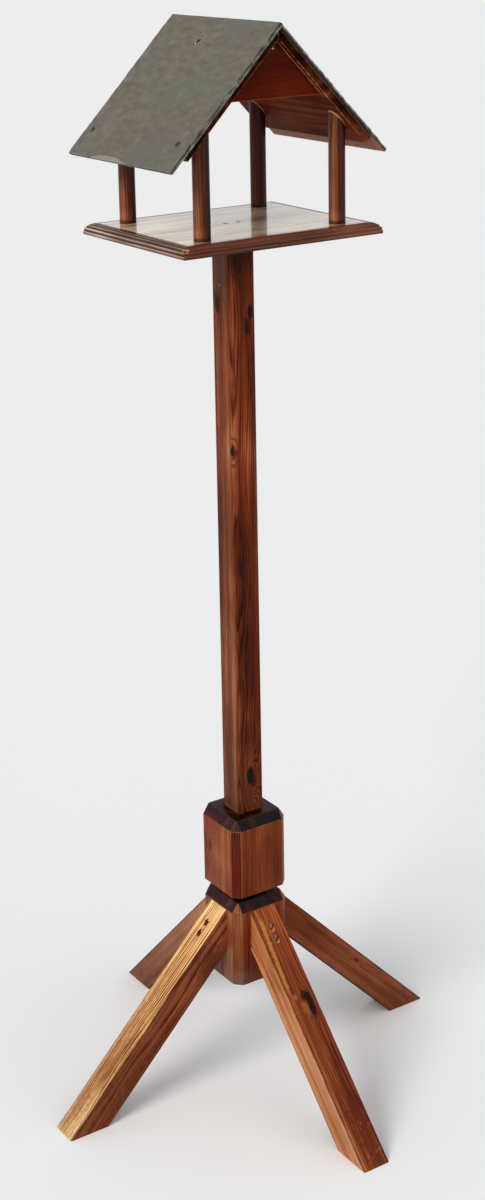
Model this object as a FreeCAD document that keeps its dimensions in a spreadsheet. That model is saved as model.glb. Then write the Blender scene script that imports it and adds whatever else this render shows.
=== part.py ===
import FreeCAD, Part
import math
import os
import re
import Sketcher
from FreeCAD import Placement, Rotation, Vector

# Bird table: a slate-roofed feeding tray on a square post, in a base with four splayed legs.
# Origin on the ground under the axis of the post, +Z up. The open gable end faces -Y and
# the two slate slopes face -X and +X. All sizes are in millimetres and degrees.

doc = FreeCAD.newDocument("BirdTable")

# Driving sizes, one alias for each

SIZES = {
    # Post
    "post_side": 45.0,
    "post_length": 1136.0,
    "post_rounding": 4.0,
    # Base block and collar block, both cut from the same square timber
    "block_side": 100.0,
    "block_corner_cut": 12.0,
    "bevel_run": 10.0,
    "bevel_rise": 15.0,
    "base_bottom": 172.0,
    "base_face_height": 123.0,
    "socket_depth": 100.0,
    "socket_clearance": 0.4,
    "collar_gap": 12.0,
    "collar_face_height": 112.0,
    # Legs
    "leg_width": 46.0,
    "leg_depth": 48.0,
    "leg_slope": 45.5,
    "leg_drop": 1.0,
    "leg_rounding": 2.5,
    # Screws of the legs
    "leg_screw_first": 33.0,
    "leg_screw_pitch": 19.0,
    "leg_screw_sink": 8.0,
    "leg_screw_length": 40.0,
    "leg_screw_shank": 4.5,
    "leg_screw_head": 9.0,
    # Tray
    "tray_board_length": 300.0,
    "tray_board_width": 238.0,
    "tray_thickness": 16.0,
    "edge_flat": 6.0,
    "edge_swell": 10.8,
    "edge_quirk": 1.2,
    "reed_fullness": 0.64,
    # Screws through the tray
    "tray_screw_spacing": 22.0,
    "tray_screw_length": 50.0,
    "roof_post_screw_length": 45.0,
    "wood_screw_shank": 4.0,
    "wood_screw_head": 8.0,
    # Roof posts
    "roof_post_diameter": 24.0,
    "roof_post_height": 147.6,
    "roof_post_inset_along": 36.0,
    "roof_post_inset_across": 20.5,
    # Roof
    "roof_pitch": 45.7,
    "roof_setback": 9.0,
    "board_slope": 224.0,
    "board_overhang": 12.0,
    "board_thickness": 11.0,
    "gable_depth": 79.6,
    "gable_thickness": 10.0,
    "gable_recess": 7.0,
    "slate_slope": 260.0,
    "slate_overhang": 7.0,
    "slate_thickness": 5.5,
    "slate_joint": 0.5,
    # Screws of the slates, measured from the ridge and from the slate's middle
    "slate_screw_shank": 3.0,
    "slate_screw_head": 6.0,
    "slate_screw_length": 15.0,
    "slate_screw_high": 43.0,
    "slate_screw_high_offset": 23.0,
    "slate_screw_low": 215.0,
    "slate_screw_front_edge": 30.0,
    "slate_screw_back_edge": 19.0,
}

# Levels and places that follow from the driving sizes

LAYOUT = {
    "base_face_top": "base_bottom + base_face_height",
    "base_top": "base_face_top + bevel_rise",
    "socket_floor": "base_top - socket_depth",
    "leg_top": "base_face_top - leg_drop",
    "leg_reach": "block_side / 2 + leg_top / tan(leg_slope)",
    "collar_bottom": "base_top + collar_gap",
    "post_top": "socket_floor + post_length",
    "tray_top": "post_top + tray_thickness",
    "edge_width": "edge_flat + edge_swell",
    "roof_post_along": "tray_board_length / 2 - roof_post_inset_along",
    "roof_post_across": "tray_board_width / 2 - roof_post_inset_across",
    "board_length": "tray_board_width + 2 * board_overhang",
    "slate_length": "board_length + 2 * slate_overhang",
    "board_apex": "tray_top + roof_post_height + roof_post_along * tan(roof_pitch)",
    "slate_bed": "board_apex + board_thickness / cos(roof_pitch)",
    "ridge_top": "slate_bed + slate_thickness / cos(roof_pitch)",
    "slate_screw_bite": "slate_screw_length - slate_thickness",
}

REEDS = 4
SCREW_FLATS = 8


def fill_sheet(name, cells):
    """Makes a sheet with one aliased cell for each entry."""
    sheet = doc.addObject("Spreadsheet::Sheet", name)
    for row, (alias, content) in enumerate(cells.items(), start=1):
        sheet.set(f"A{row}", alias)
        sheet.set(f"B{row}", str(content))
        sheet.setAlias(f"B{row}", alias)
    doc.recompute()
    return sheet


def bound(text):
    """Turns a formula in plain size names into one that points at the two sheets."""

    def owner(match):
        word = match.group()
        if word in SIZES:
            return "Sizes." + word
        if word in LAYOUT:
            return "Layout." + word
        return word

    return re.sub(r"[a-z][a-z_]*", owner, text)


sizes = fill_sheet("Sizes", SIZES)
layout = fill_sheet("Layout", {alias: "=" + bound(text) for alias, text in LAYOUT.items()})


def value(text):
    """The present value of a formula in size names."""
    result = sizes.evalExpression(bound(text))
    return float(getattr(result, "Value", result))


def new_body(name):
    body = doc.addObject("PartDesign::Body", name)
    body.Label = name
    return body


def origin_plane(body, role):
    return next(plane for plane in body.Origin.OriginFeatures if plane.Role == role)


def new_sketch(body, name, role, offset=None):
    """A sketch on one of the body's own origin planes, lifted along its normal by a formula."""
    sketch = body.newObject("Sketcher::SketchObject", name)
    sketch.AttachmentSupport = (origin_plane(body, role), [""])
    sketch.MapMode = "FlatFace"
    if offset:
        sketch.setExpression("AttachmentOffset.Base.z", bound(offset))
    doc.recompute()
    return sketch


def pin_point(sketch, geometry, end, corner):
    """Ties one end of a sketch line to a pair of formulas, measured from the sketch origin."""
    for kind, text in zip(("DistanceX", "DistanceY"), corner):
        index = sketch.addConstraint(
            Sketcher.Constraint(kind, -1, 1, geometry, end, value(text)))
        sketch.setExpression(f"Constraints[{index}]", bound(text))


def point(corner):
    return Vector(value(corner[0]), value(corner[1]), 0)


def add_outline(sketch, corners):
    """A closed outline of straight lines through corners given as pairs of formulas."""
    count = len(corners)
    first = sketch.GeometryCount
    for index, corner in enumerate(corners):
        following = corners[(index + 1) % count]
        sketch.addGeometry(Part.LineSegment(point(corner), point(following)), False)
    for index, corner in enumerate(corners):
        joined = first + (index + 1) % count
        sketch.addConstraint(
            Sketcher.Constraint("Coincident", first + index, 2, joined, 1))
        pin_point(sketch, first + index, 1, corner)


def add_circle(sketch, centre, diameter):
    index = sketch.addGeometry(
        Part.Circle(point(centre), Vector(0, 0, 1), value(diameter) / 2), False)
    pin_point(sketch, index, 3, centre)
    tie = sketch.addConstraint(Sketcher.Constraint("Diameter", index, value(diameter)))
    sketch.setExpression(f"Constraints[{tie}]", bound(diameter))


def centred_rectangle(length, width):
    half_length = f"({length}) / 2"
    half_width = f"({width}) / 2"
    return [(f"-{half_length}", f"-{half_width}"), (half_length, f"-{half_width}"),
            (half_length, half_width), (f"-{half_length}", half_width)]


def add_pad(body, sketch, length, symmetric=False, downward=False):
    pad = body.newObject("PartDesign::Pad", sketch.Name + "Pad")
    pad.Profile = sketch
    pad.setExpression("Length", bound(length))
    if symmetric:
        pad.SideType = "Symmetric"
    pad.Reversed = downward
    doc.recompute()
    return pad


def add_pocket(body, sketch, length=None, symmetric=False, reverse=False):
    """A pocket that must take wood away: through everything unless a depth is given."""
    before = body.Shape.Volume
    pocket = body.newObject("PartDesign::Pocket", sketch.Name + "Pocket")
    pocket.Profile = sketch
    if length:
        pocket.setExpression("Length", bound(length))
    else:
        pocket.Type = "ThroughAll"
    if symmetric:
        pocket.SideType = "Symmetric"
    pocket.Reversed = reverse
    doc.recompute()
    if body.Shape.Volume >= before:
        raise ValueError(sketch.Name + " cuts nothing")
    return pocket


def edges_along(shape, direction):
    """Names of the straight edges of a shape that run along a direction."""
    names = []
    for index, edge in enumerate(shape.Edges, start=1):
        run = edge.Vertexes[-1].Point - edge.Vertexes[0].Point
        if run.Length > 0 and run.cross(direction).Length < 1e-6 * run.Length:
            names.append(f"Edge{index}")
    return names


def edges_at(shape, level):
    """Names of the edges of a shape that lie level at a height given by a formula."""
    height = value(level)
    return [f"Edge{index}" for index, edge in enumerate(shape.Edges, start=1)
            if all(abs(corner.Z - height) < 1e-6 for corner in edge.Vertexes)]


def round_edges(body, direction, radius):
    base = body.Tip
    fillet = body.newObject("PartDesign::Fillet", body.Name + "Rounding")
    fillet.Base = (base, edges_along(base.Shape, direction))
    fillet.setExpression("Radius", bound(radius))
    doc.recompute()


def sink_holes(body, name, centres, level, depth):
    """Countersinks the mouths of round holes, given by their centres and their level."""
    drilled = body.Tip
    mouths = [point(centre) + Vector(0, 0, value(level)) for centre in centres]
    names = []
    for index, edge in enumerate(drilled.Shape.Edges, start=1):
        if isinstance(edge.Curve, Part.Circle):
            if any((edge.Curve.Center - mouth).Length < 1e-6 for mouth in mouths):
                names.append(f"Edge{index}")
    if len(names) != len(centres):
        raise ValueError(f"{name} finds {len(names)} mouths of {len(centres)}")
    sinks = body.newObject("PartDesign::Chamfer", name)
    sinks.Base = (drilled, names)
    sinks.setExpression("Size", bound(depth))
    doc.recompute()


def place(body, x="0", y="0", z="0", turn=0):
    """Sets a body down at a place given by formulas, turned about Z by whole degrees."""
    body.Placement = Placement(Vector(value(x), value(y), value(z)), Rotation(turn, 0, 0))
    for axis, text in (("x", x), ("y", y), ("z", z)):
        body.setExpression(f"Placement.Base.{axis}", bound(text))


# Post

def make_post():
    body = new_body("main_post")
    sketch = new_sketch(body, "PostSection", "XY_Plane")
    add_outline(sketch, centred_rectangle("post_side", "post_side"))
    add_pad(body, sketch, "post_length")
    round_edges(body, Vector(0, 0, 1), "post_rounding")
    holes = new_sketch(body, "PostScrewHoles", "XY_Plane", "post_length")
    for side in ("-", ""):
        add_circle(holes, (f"{side}tray_screw_spacing / 2", "0"), "wood_screw_shank")
    add_pocket(body, holes, "tray_screw_length - tray_thickness")
    place(body, z="socket_floor")
    return body


# Blocks

def block_outline(half, inner):
    """Eight corners of a square block whose upright edges are cut back to inner."""
    return [(half, f"-{inner}"), (half, inner), (inner, half), (f"-{inner}", half),
            (f"-{half}", inner), (f"-{half}", f"-{inner}"), (f"-{inner}", f"-{half}"),
            (inner, f"-{half}")]


def make_block(name, face_height):
    """A square block with cut corners and a bevelled top, standing on its own origin."""
    body = new_body(name)
    foot = new_sketch(body, name + "Foot", "XY_Plane")
    add_outline(foot, block_outline("(block_side / 2)", "(block_side / 2 - block_corner_cut)"))
    height = f"{face_height} + bevel_rise"
    blank = add_pad(body, foot, height)
    bevel = body.newObject("PartDesign::Chamfer", name + "Bevel")
    bevel.Base = (blank, edges_at(blank.Shape, height))
    bevel.ChamferType = "Two distances"
    bevel.FlipDirection = True
    bevel.setExpression("Size", bound("bevel_run"))
    bevel.setExpression("Size2", bound("bevel_rise"))
    doc.recompute()
    return body


def make_base_block():
    body = make_block("base_block", "base_face_height")
    opening = "post_side + 2 * socket_clearance"
    socket = new_sketch(body, "SocketMouth", "XY_Plane", "base_face_height + bevel_rise")
    add_outline(socket, centred_rectangle(opening, opening))
    add_pocket(body, socket, "socket_depth")
    for plane in ("XZ_Plane", "YZ_Plane"):
        for sign in ("", "-"):
            for number, (level, seat) in enumerate(leg_screw_places()):
                hole = new_sketch(body, f"LegScrewHole{plane[:2]}{len(sign)}{number}", plane,
                                  f"{sign}block_side / 2")
                add_circle(hole, ("0", f"{level} - base_bottom"), "leg_screw_shank")
                add_pocket(body, hole, f"leg_screw_length - {seat}", reverse=bool(sign))
    place(body, z="base_bottom")
    return body


def make_collar_block():
    body = make_block("collar_block", "collar_face_height")
    bore = new_sketch(body, "CollarBore", "XY_Plane")
    add_outline(bore, centred_rectangle("post_side", "post_side"))
    add_pocket(body, bore, reverse=True)
    place(body, z="collar_bottom")
    return body


# Legs

def leg_screw_places():
    """Height of each level screw of a leg, and how far its seat lies from the block.

    Both seats lie equally deep under the leg's sloping upper face.
    """
    return [(f"(leg_top - {down} * sin(leg_slope))",
             f"({down} * cos(leg_slope) - leg_screw_sink)")
            for down in ("leg_screw_first", "(leg_screw_first + leg_screw_pitch)")]


def make_leg(name, turn):
    """A leg that slopes away from the block along +X, before it is turned to its side."""
    body = new_body(name)
    head = "block_side / 2"
    outline = [
        (head, "leg_top"),
        (head, "leg_top - leg_depth / cos(leg_slope)"),
        ("leg_reach - leg_depth / sin(leg_slope)", "0"),
        ("leg_reach", "0"),
    ]
    side = new_sketch(body, name + "Side", "XZ_Plane")
    add_outline(side, outline)
    add_pad(body, side, "leg_width", symmetric=True)
    slope = math.radians(value("leg_slope"))
    round_edges(body, Vector(math.cos(slope), 0, -math.sin(slope)), "leg_rounding")
    bores = new_sketch(body, name + "Bores", "YZ_Plane", head)
    for level, _ in leg_screw_places():
        add_circle(bores, ("0", level), "leg_screw_shank")
    add_pocket(body, bores, reverse=True)
    for number, (level, seat) in enumerate(leg_screw_places()):
        sink = new_sketch(body, f"{name}Seat{number}", "YZ_Plane", f"{head} + {seat}")
        add_circle(sink, ("0", level), "leg_screw_head")
        add_pocket(body, sink, reverse=True)
    place(body, turn=turn)
    return body


# Tray

def make_tray_board():
    body = new_body("tray_board")
    sketch = new_sketch(body, "TrayOutline", "XY_Plane")
    add_outline(sketch, centred_rectangle("tray_board_length", "tray_board_width"))
    add_pad(body, sketch, "tray_thickness")
    sink = screw_neck("wood_screw_head", "wood_screw_shank")
    middle = [(f"{side}tray_screw_spacing / 2", "0") for side in ("-", "")]
    corners = [(f"{along}roof_post_along", f"{across}roof_post_across")
               for along in ("-", "") for across in ("-", "")]
    shanks = new_sketch(body, "TrayScrewShanks", "XY_Plane")
    for centre in middle + corners:
        add_circle(shanks, centre, "wood_screw_shank")
    add_pocket(body, shanks, reverse=True)
    sink_holes(body, "TrayScrewSinks", middle, "tray_thickness", sink)
    sink_holes(body, "RoofPostScrewSinks", corners, "0", sink)
    place(body, z="post_top")
    return body


def reed_corner(index):
    """A groove between two reeds, on a quarter ellipse from just under the top to the foot."""
    angle = 90 / REEDS * index
    return (f"edge_flat + edge_swell * sin({angle})",
            f"(tray_thickness - edge_quirk) * cos({angle})")


def add_reeds(sketch):
    """The moulding's section: underside, back, flat top, a small quirk, then a fan of reeds."""
    corners = [reed_corner(REEDS), ("0", "0"), ("0", "tray_thickness"),
               ("edge_flat", "tray_thickness"), reed_corner(0)]
    lines = len(corners) - 1
    for index in range(lines):
        line = Part.LineSegment(point(corners[index]), point(corners[index + 1]))
        sketch.addGeometry(line, False)
        pin_point(sketch, index, 1, corners[index])
    for index in range(lines - 1):
        sketch.addConstraint(Sketcher.Constraint("Coincident", index, 2, index + 1, 1))
    for index in range(REEDS):
        add_reed(sketch, index, lines - 1)


def add_reed(sketch, index, last_line):
    """One reed: an arc that bulges outward between two grooves."""
    start_text = reed_corner(index)
    finish_text = reed_corner(index + 1)
    start = point(start_text)
    finish = point(finish_text)
    chord_text = (f"sqrt(({finish_text[0]} - ({start_text[0]})) ^ 2"
                  f" + ({finish_text[1]} - ({start_text[1]})) ^ 2)")
    radius_text = f"reed_fullness * {chord_text}"
    radius = value(radius_text)
    chord = (finish - start).Length
    rise = radius - math.sqrt(radius ** 2 - (chord / 2) ** 2)
    outward = Vector(-(finish - start).y, (finish - start).x, 0)
    outward.normalize()
    crest = (start + finish) * 0.5 + outward * rise
    arc = Part.Arc(finish, crest, start)
    reed = sketch.addGeometry(arc, False)
    runs_back = (sketch.getPoint(reed, 1) - finish).Length < 1e-6
    start_end, finish_end = (2, 1) if runs_back else (1, 2)
    pin_point(sketch, reed, start_end, start_text)
    if index == 0:
        sketch.addConstraint(
            Sketcher.Constraint("Coincident", last_line, 2, reed, start_end))
    if index == REEDS - 1:
        sketch.addConstraint(Sketcher.Constraint("Coincident", 0, 1, reed, finish_end))
    else:
        pin_point(sketch, reed, finish_end, finish_text)
    tie = sketch.addConstraint(Sketcher.Constraint("Radius", reed, radius))
    sketch.setExpression(f"Constraints[{tie}]", bound(radius_text))


def make_tray_edge(name, board_side, board_depth, turn):
    """A strip of reeded moulding along one side of the tray, mitred at both ends."""
    body = new_body(name)
    section = new_sketch(body, name + "Section", "XZ_Plane")
    add_reeds(section)
    add_pad(body, section, f"{board_side} + 2 * edge_width", symmetric=True)
    mitres = new_sketch(body, name + "Mitres", "XY_Plane")
    half = f"({board_side} / 2)"
    far = "edge_width + edge_swell"
    for sign in ("-", ""):
        add_outline(mitres, [
            ("0", f"{sign}{half}"),
            (far, f"{sign}({half} + {far})"),
            ("0", f"{sign}({half} + {far})"),
        ])
    add_pocket(body, mitres, symmetric=True)
    out = f"{board_depth} / 2"
    x, y = {0: (out, "0"), 90: ("0", out), 180: ("-" + out, "0"), 270: ("0", "-" + out)}[turn]
    place(body, x=x, y=y, z="post_top", turn=turn)
    return body


# Roof

def make_roof_post(name, along, across):
    """A dowel cut to the roof's slope; its high side faces the ridge."""
    body = new_body(name)
    circle = new_sketch(body, name + "Section", "XY_Plane")
    add_circle(circle, ("0", "0"), "roof_post_diameter")
    rise = "roof_post_diameter / 2 * tan(roof_pitch)"
    add_pad(body, circle, f"roof_post_height + {rise}")
    slope = new_sketch(body, name + "Slope", "XZ_Plane")
    spare = "roof_post_diameter"
    add_outline(slope, [
        (f"-{spare}", f"roof_post_height + {spare} * tan(roof_pitch)"),
        (spare, f"roof_post_height - {spare} * tan(roof_pitch)"),
        (spare, f"roof_post_height + {spare} * tan(roof_pitch)"),
    ])
    add_pocket(body, slope, symmetric=True)
    hole = new_sketch(body, name + "ScrewHole", "XY_Plane")
    add_circle(hole, ("0", "0"), "wood_screw_shank")
    add_pocket(body, hole, "roof_post_screw_length - tray_thickness", reverse=True)
    place(body, x=f"{along}roof_post_along", y=f"{across}roof_post_across", z="tray_top",
          turn=180 if along else 0)
    return body


def slab_outline(side, corners):
    """Corners of a slab in its own flat frame, run down from the ridge towards its eave."""
    if side == "right":
        return corners
    return [(f"-({run})", height) for run, height in reversed(corners)]


def lay_on_slope(body, side, level):
    """Tips a flat slab down to its side's slope, with the head of its top face at a level."""
    direction = 1 if side == "right" else -1
    turn = Rotation(Vector(0, direction, 0), value("roof_pitch"))
    body.Placement = Placement(Vector(0, value("roof_setback"), value(level)), turn)
    body.setExpression("Placement.Base.y", bound("roof_setback"))
    body.setExpression("Placement.Base.z", bound(level))
    body.setExpression("Placement.Rotation.Angle", bound("roof_pitch"))


def slate_screw_places():
    """Run down the slope and offset along the ridge of each screw of one slate."""
    return [("slate_screw_high", "slate_screw_high_offset"),
            ("slate_screw_low", "slate_length / 2 - slate_screw_back_edge"),
            ("slate_screw_low", "slate_screw_front_edge - slate_length / 2")]


def slope_centres(side, set_back="0"):
    """Centres of one slate's screws in a slab's own frame, less the set-back of its head."""
    sign = "" if side == "right" else "-"
    return [(f"{sign}({run} - {set_back})", offset) for run, offset in slate_screw_places()]


def make_roof_board(side):
    """A board with a mitred head, drilled for the screws of its slate."""
    name = "roof_board_" + side
    body = new_body(name)
    section = new_sketch(body, name + "Section", "XZ_Plane")
    add_outline(section, slab_outline(side, [
        ("0", "0"), ("board_slope", "0"), ("board_slope", "-board_thickness"),
        ("board_thickness * tan(roof_pitch)", "-board_thickness")]))
    add_pad(body, section, "board_length", symmetric=True)
    holes = new_sketch(body, name + "Holes", "XY_Plane")
    for centre in slope_centres(side, "slate_thickness * tan(roof_pitch)"):
        add_circle(holes, centre, "slate_screw_shank")
    add_pocket(body, holes, "slate_screw_bite")
    lay_on_slope(body, side, "slate_bed")
    return body


def make_slate(side):
    """A roof slate. The left one laps the head of the right one at the ridge."""
    name = "slate_" + side
    body = new_body(name)
    head = {
        "left": ("0", "0"),
        "right": ("(slate_thickness + slate_joint) / sin(2 * roof_pitch)",
                  "slate_joint / sin(2 * roof_pitch) + slate_thickness * tan(roof_pitch)"),
    }[side]
    section = new_sketch(body, name + "Section", "XZ_Plane")
    add_outline(section, slab_outline(side, [
        (head[0], "0"), ("slate_slope", "0"), ("slate_slope", "-slate_thickness"),
        (head[1], "-slate_thickness")]))
    add_pad(body, section, "slate_length", symmetric=True)
    holes = new_sketch(body, name + "Holes", "XY_Plane")
    centres = slope_centres(side)
    for centre in centres:
        add_circle(holes, centre, "slate_screw_shank")
    add_pocket(body, holes)
    sink_holes(body, name + "Sinks", centres, "0",
               screw_neck("slate_screw_head", "slate_screw_shank"))
    lay_on_slope(body, side, "ridge_top")
    return body


def make_gable_panel(name, front):
    body = new_body(name)
    half = "gable_depth / tan(roof_pitch)"
    panel = new_sketch(body, name + "Outline", "XZ_Plane")
    add_outline(panel, [
        (f"-{half}", "board_apex - gable_depth"),
        (half, "board_apex - gable_depth"),
        ("0", "board_apex"),
    ])
    add_pad(body, panel, "gable_thickness", downward=front)
    face = "(board_length / 2 - gable_recess)"
    place(body, y=f"roof_setback - {face}" if front else f"roof_setback + {face}")
    return body


# Screws

def screw_neck(head, shank):
    """Height of a countersunk head, whose side slopes by 45 degrees."""
    return f"({head} - {shank}) / 2"


def screw_ring(diameter, level):
    corners = []
    for flat in range(SCREW_FLATS):
        turn = 2 * math.pi * flat / SCREW_FLATS
        corners.append(Vector(math.cos(turn) * diameter / 2, math.sin(turn) * diameter / 2, level))
    return corners


def screw_shape(length, head, shank):
    """A countersunk screw that points along -Z with the top of its head at the origin.

    Its rounds are cut to a few flats, which lie inside the round holes.
    """
    length, head, shank = value(length), value(head), value(shank)
    rings = [screw_ring(head, 0), screw_ring(shank, (shank - head) / 2),
             screw_ring(shank, shank - length)]
    tip = Vector(0, 0, -length)
    outlines = [rings[0]]
    for flat in range(SCREW_FLATS):
        beside = (flat + 1) % SCREW_FLATS
        for upper, lower in zip(rings, rings[1:]):
            outlines.append([upper[flat], upper[beside], lower[beside], lower[flat]])
        outlines.append([rings[-1][flat], rings[-1][beside], tip])
    faces = [Part.Face(Part.makePolygon(outline + outline[:1])) for outline in outlines]
    return Part.makeSolid(Part.makeShell(faces))


def make_screws(name, shape, placements):
    """A group of like screws, each a solid of its own."""
    group = doc.addObject("Part::Feature", name)
    group.Label = name
    copies = []
    for placement in placements:
        copy = shape.copy()
        copy.Placement = placement
        copies.append(copy)
    group.Shape = Part.makeCompound(copies)
    return group


def make_leg_screws():
    neck = value(screw_neck("leg_screw_head", "leg_screw_shank"))
    level_turn = Rotation(Vector(0, 1, 0), 90)
    placements = []
    for quarter in range(4):
        to_side = Placement(Vector(), Rotation(Vector(0, 0, 1), 90 * quarter))
        for level, seat in leg_screw_places():
            reach = value(f"block_side / 2 + {seat}") + neck
            head = Placement(Vector(reach, 0, value(level)), level_turn)
            placements.append(to_side.multiply(head))
    shape = screw_shape(f"leg_screw_length + {neck}", "leg_screw_head", "leg_screw_shank")
    return make_screws("leg_screws", shape, placements)


def make_tray_screws():
    shape = screw_shape("tray_screw_length", "wood_screw_head", "wood_screw_shank")
    level = value("tray_top")
    spread = value("tray_screw_spacing") / 2
    return make_screws("tray_screws", shape, [
        Placement(Vector(side * spread, 0, level), Rotation()) for side in (-1, 1)])


def make_roof_post_screws():
    shape = screw_shape("roof_post_screw_length", "wood_screw_head", "wood_screw_shank")
    upward = Rotation(Vector(1, 0, 0), 180)
    along, across = value("roof_post_along"), value("roof_post_across")
    return make_screws("roof_post_screws", shape, [
        Placement(Vector(x, y, value("post_top")), upward)
        for x in (-along, along) for y in (-across, across)])


def make_slate_screws():
    shape = screw_shape("slate_screw_length", "slate_screw_head", "slate_screw_shank")
    pitch = value("roof_pitch")
    slope = math.radians(pitch)
    placements = []
    for side in (-1, 1):
        for run_text, offset in slate_screw_places():
            run = value(run_text)
            seat = Vector(side * run * math.cos(slope),
                          value("roof_setback") + value(offset),
                          value("ridge_top") - run * math.sin(slope))
            placements.append(Placement(seat, Rotation(Vector(0, side, 0), pitch)))
    return make_screws("slate_screws", shape, placements)


# Assembly

def make_pieces():
    """Every piece of the bird table, from the ground up."""
    pieces = [make_base_block()]
    for turn, side in enumerate(("right", "back", "left", "front")):
        pieces.append(make_leg("leg_" + side, 90 * turn))
    pieces += [make_leg_screws(), make_post(), make_collar_block(), make_tray_board()]
    for turn, side in enumerate(("right", "back", "left", "front")):
        across = turn % 2 == 0
        long_side = "tray_board_width" if across else "tray_board_length"
        far_side = "tray_board_length" if across else "tray_board_width"
        pieces.append(make_tray_edge("tray_edge_" + side, long_side, far_side, 90 * turn))
    pieces.append(make_tray_screws())
    for end, across in (("front", "-"), ("back", "")):
        for side, along in (("left", "-"), ("right", "")):
            pieces.append(make_roof_post(f"roof_post_{end}_{side}", along, across))
    pieces.append(make_roof_post_screws())
    pieces += [make_roof_board("left"), make_roof_board("right")]
    pieces += [make_gable_panel("gable_panel_front", True),
               make_gable_panel("gable_panel_back", False)]
    pieces += [make_slate("left"), make_slate("right"), make_slate_screws()]
    return pieces


def check_document():
    """Stops where any object of the document has failed."""
    for item in doc.Objects:
        if "Invalid" in item.State or "Error" in item.State:
            raise ValueError(f"{item.Name} has failed: {item.State}")


def check_piece(piece):
    if piece.Shape.isNull() or not piece.Shape.isValid():
        raise ValueError(piece.Label + " has no valid shape")
    if not piece.Shape.Solids:
        raise ValueError(piece.Label + " has no solid")


def main():
    pieces = make_pieces()
    doc.recompute()
    check_document()
    for piece in pieces:
        check_piece(piece)
    os.makedirs("parts", exist_ok=True)
    for piece in pieces:
        piece.Shape.exportStep(f"parts/{piece.Label}.step")
        box = piece.Shape.BoundBox
        print(f"{piece.Label:24s} solids {len(piece.Shape.Solids):2d}"
              f"  volume {piece.Shape.Volume / 1000:9.1f} cm3"
              f"  size {box.XLength:6.1f} {box.YLength:6.1f} {box.ZLength:6.1f}")
    print(f"tray top {value('tray_top'):.1f}, ridge {value('ridge_top'):.1f}")


main()
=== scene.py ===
import logging
import math
from collections.abc import Callable, Iterable, Sequence
from dataclasses import dataclass, field, replace
from enum import Enum

import bmesh
import bpy
from mathutils import Matrix, Vector, noise


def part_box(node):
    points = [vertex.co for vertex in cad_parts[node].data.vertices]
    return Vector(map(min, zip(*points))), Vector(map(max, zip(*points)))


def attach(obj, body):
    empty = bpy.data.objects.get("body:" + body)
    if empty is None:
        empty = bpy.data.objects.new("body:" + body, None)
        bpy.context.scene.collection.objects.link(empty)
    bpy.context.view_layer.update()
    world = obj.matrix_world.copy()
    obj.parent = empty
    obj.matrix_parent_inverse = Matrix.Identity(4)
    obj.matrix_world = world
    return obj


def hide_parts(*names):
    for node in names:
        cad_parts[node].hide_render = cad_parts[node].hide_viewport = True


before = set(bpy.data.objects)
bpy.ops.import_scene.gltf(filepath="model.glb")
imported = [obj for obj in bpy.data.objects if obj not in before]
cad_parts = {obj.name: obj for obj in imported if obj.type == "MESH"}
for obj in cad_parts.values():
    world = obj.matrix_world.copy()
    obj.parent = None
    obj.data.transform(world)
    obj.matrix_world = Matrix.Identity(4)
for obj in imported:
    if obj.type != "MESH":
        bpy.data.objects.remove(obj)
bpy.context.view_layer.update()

LOG = logging.getLogger("bird_table")

Triple = tuple[float, float, float]
Levels = tuple[tuple[float, float], ...]
Tones = tuple[str, ...]
Piece = bpy.types.Object
Material = bpy.types.Material
Socket = bpy.types.NodeSocket
Source = Socket | float | Sequence[float]
Mark = Callable[["Graph", Socket], None]

# A gap that counts as none, in metres.
TINY = 1e-6

# Places on a scale of four tones of timber, and of three tones of a broken rim.
WOOD_SCALE = (0.0, 0.32, 0.62, 1.0)
RIM_SCALE = (0.36, 0.5, 0.64)

# Patterns of timber: how many of their spots go to a metre along, across and into it.
WANDER = (3.0, 9.0, 9.0)
WAVES = (3.5, 62.0, 62.0)
STREAKS = (2.2, 75.0, 75.0)
BLOTCHES = (7.0, 13.0, 13.0)
FIBRES = (22.0, 820.0, 820.0)
HUES = (3.5, 42.0, 42.0)
KNOT_EDGE = (120.0, 260.0, 260.0)
ARRIS_EDGE = (45.0, 300.0, 300.0)
STAIN_EDGE = (190.0, 190.0, 110.0)
BOARD_EDGE = (90.0, 90.0, 90.0)
CORNER_EDGE = (420.0, 420.0, 420.0)

# Patterns of slate: the same down the slope, along the ridge and into the stone.
MOTTLES = (95.0, 50.0, 300.0)
SPECKS = (650.0, 650.0, 650.0)
STONE_STREAKS = (46.0, 17.0, 60.0)
PATCHES = (11.0, 9.0, 40.0)
CLOUDS = (6.0, 7.0, 20.0)
BLOBS = (75.0, 170.0, 260.0)
GLINTS = (14.0, 14.0, 14.0)
DAMP = (25.0, 40.0, 25.0)
CRATER_EDGE = (170.0, 170.0, 170.0)
CRATER_PATCHES = (75.0, 75.0, 75.0)

# Patterns of steel.
TARNISH = (260.0, 260.0, 260.0)
PITS = (900.0, 900.0, 900.0)

# Colours of small marks.
# Painted contact shade and grime round the feet of the round posts on the tray.
FOOT_SHADE_AND_GRIME = "120806"
# Painted shade in the grooves of the reeded moulding.
GROOVE_SHADE = "240a04"
WORN_CORNER = "d09a60"
# Painted highlight on the cut tops of the round posts.
HEAD_HIGHLIGHT = "f0c09a"
# Painted highlight along the gable panels' upper edges.
GABLE_EDGE_HIGHLIGHT = "dd9468"
# Painted highlight along the gable panels' lower edge.
GABLE_FOOT_HIGHLIGHT = "b0603c"
BROKEN_DARK = "39332b"
BROKEN_PALE = "a9a396"
# Painted shade in the screw holes of the slates.
HOLE_SHADE = "14100d"


def linear(code: str) -> tuple[float, float, float, float]:
    """The linear colour of a six-digit screen colour."""
    parts = (int(code[place:place + 2], 16) / 255 for place in (0, 2, 4))
    return (*(part / 12.92 if part <= 0.04045 else ((part + 0.055) / 1.055) ** 2.4
              for part in parts), 1.0)


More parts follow.
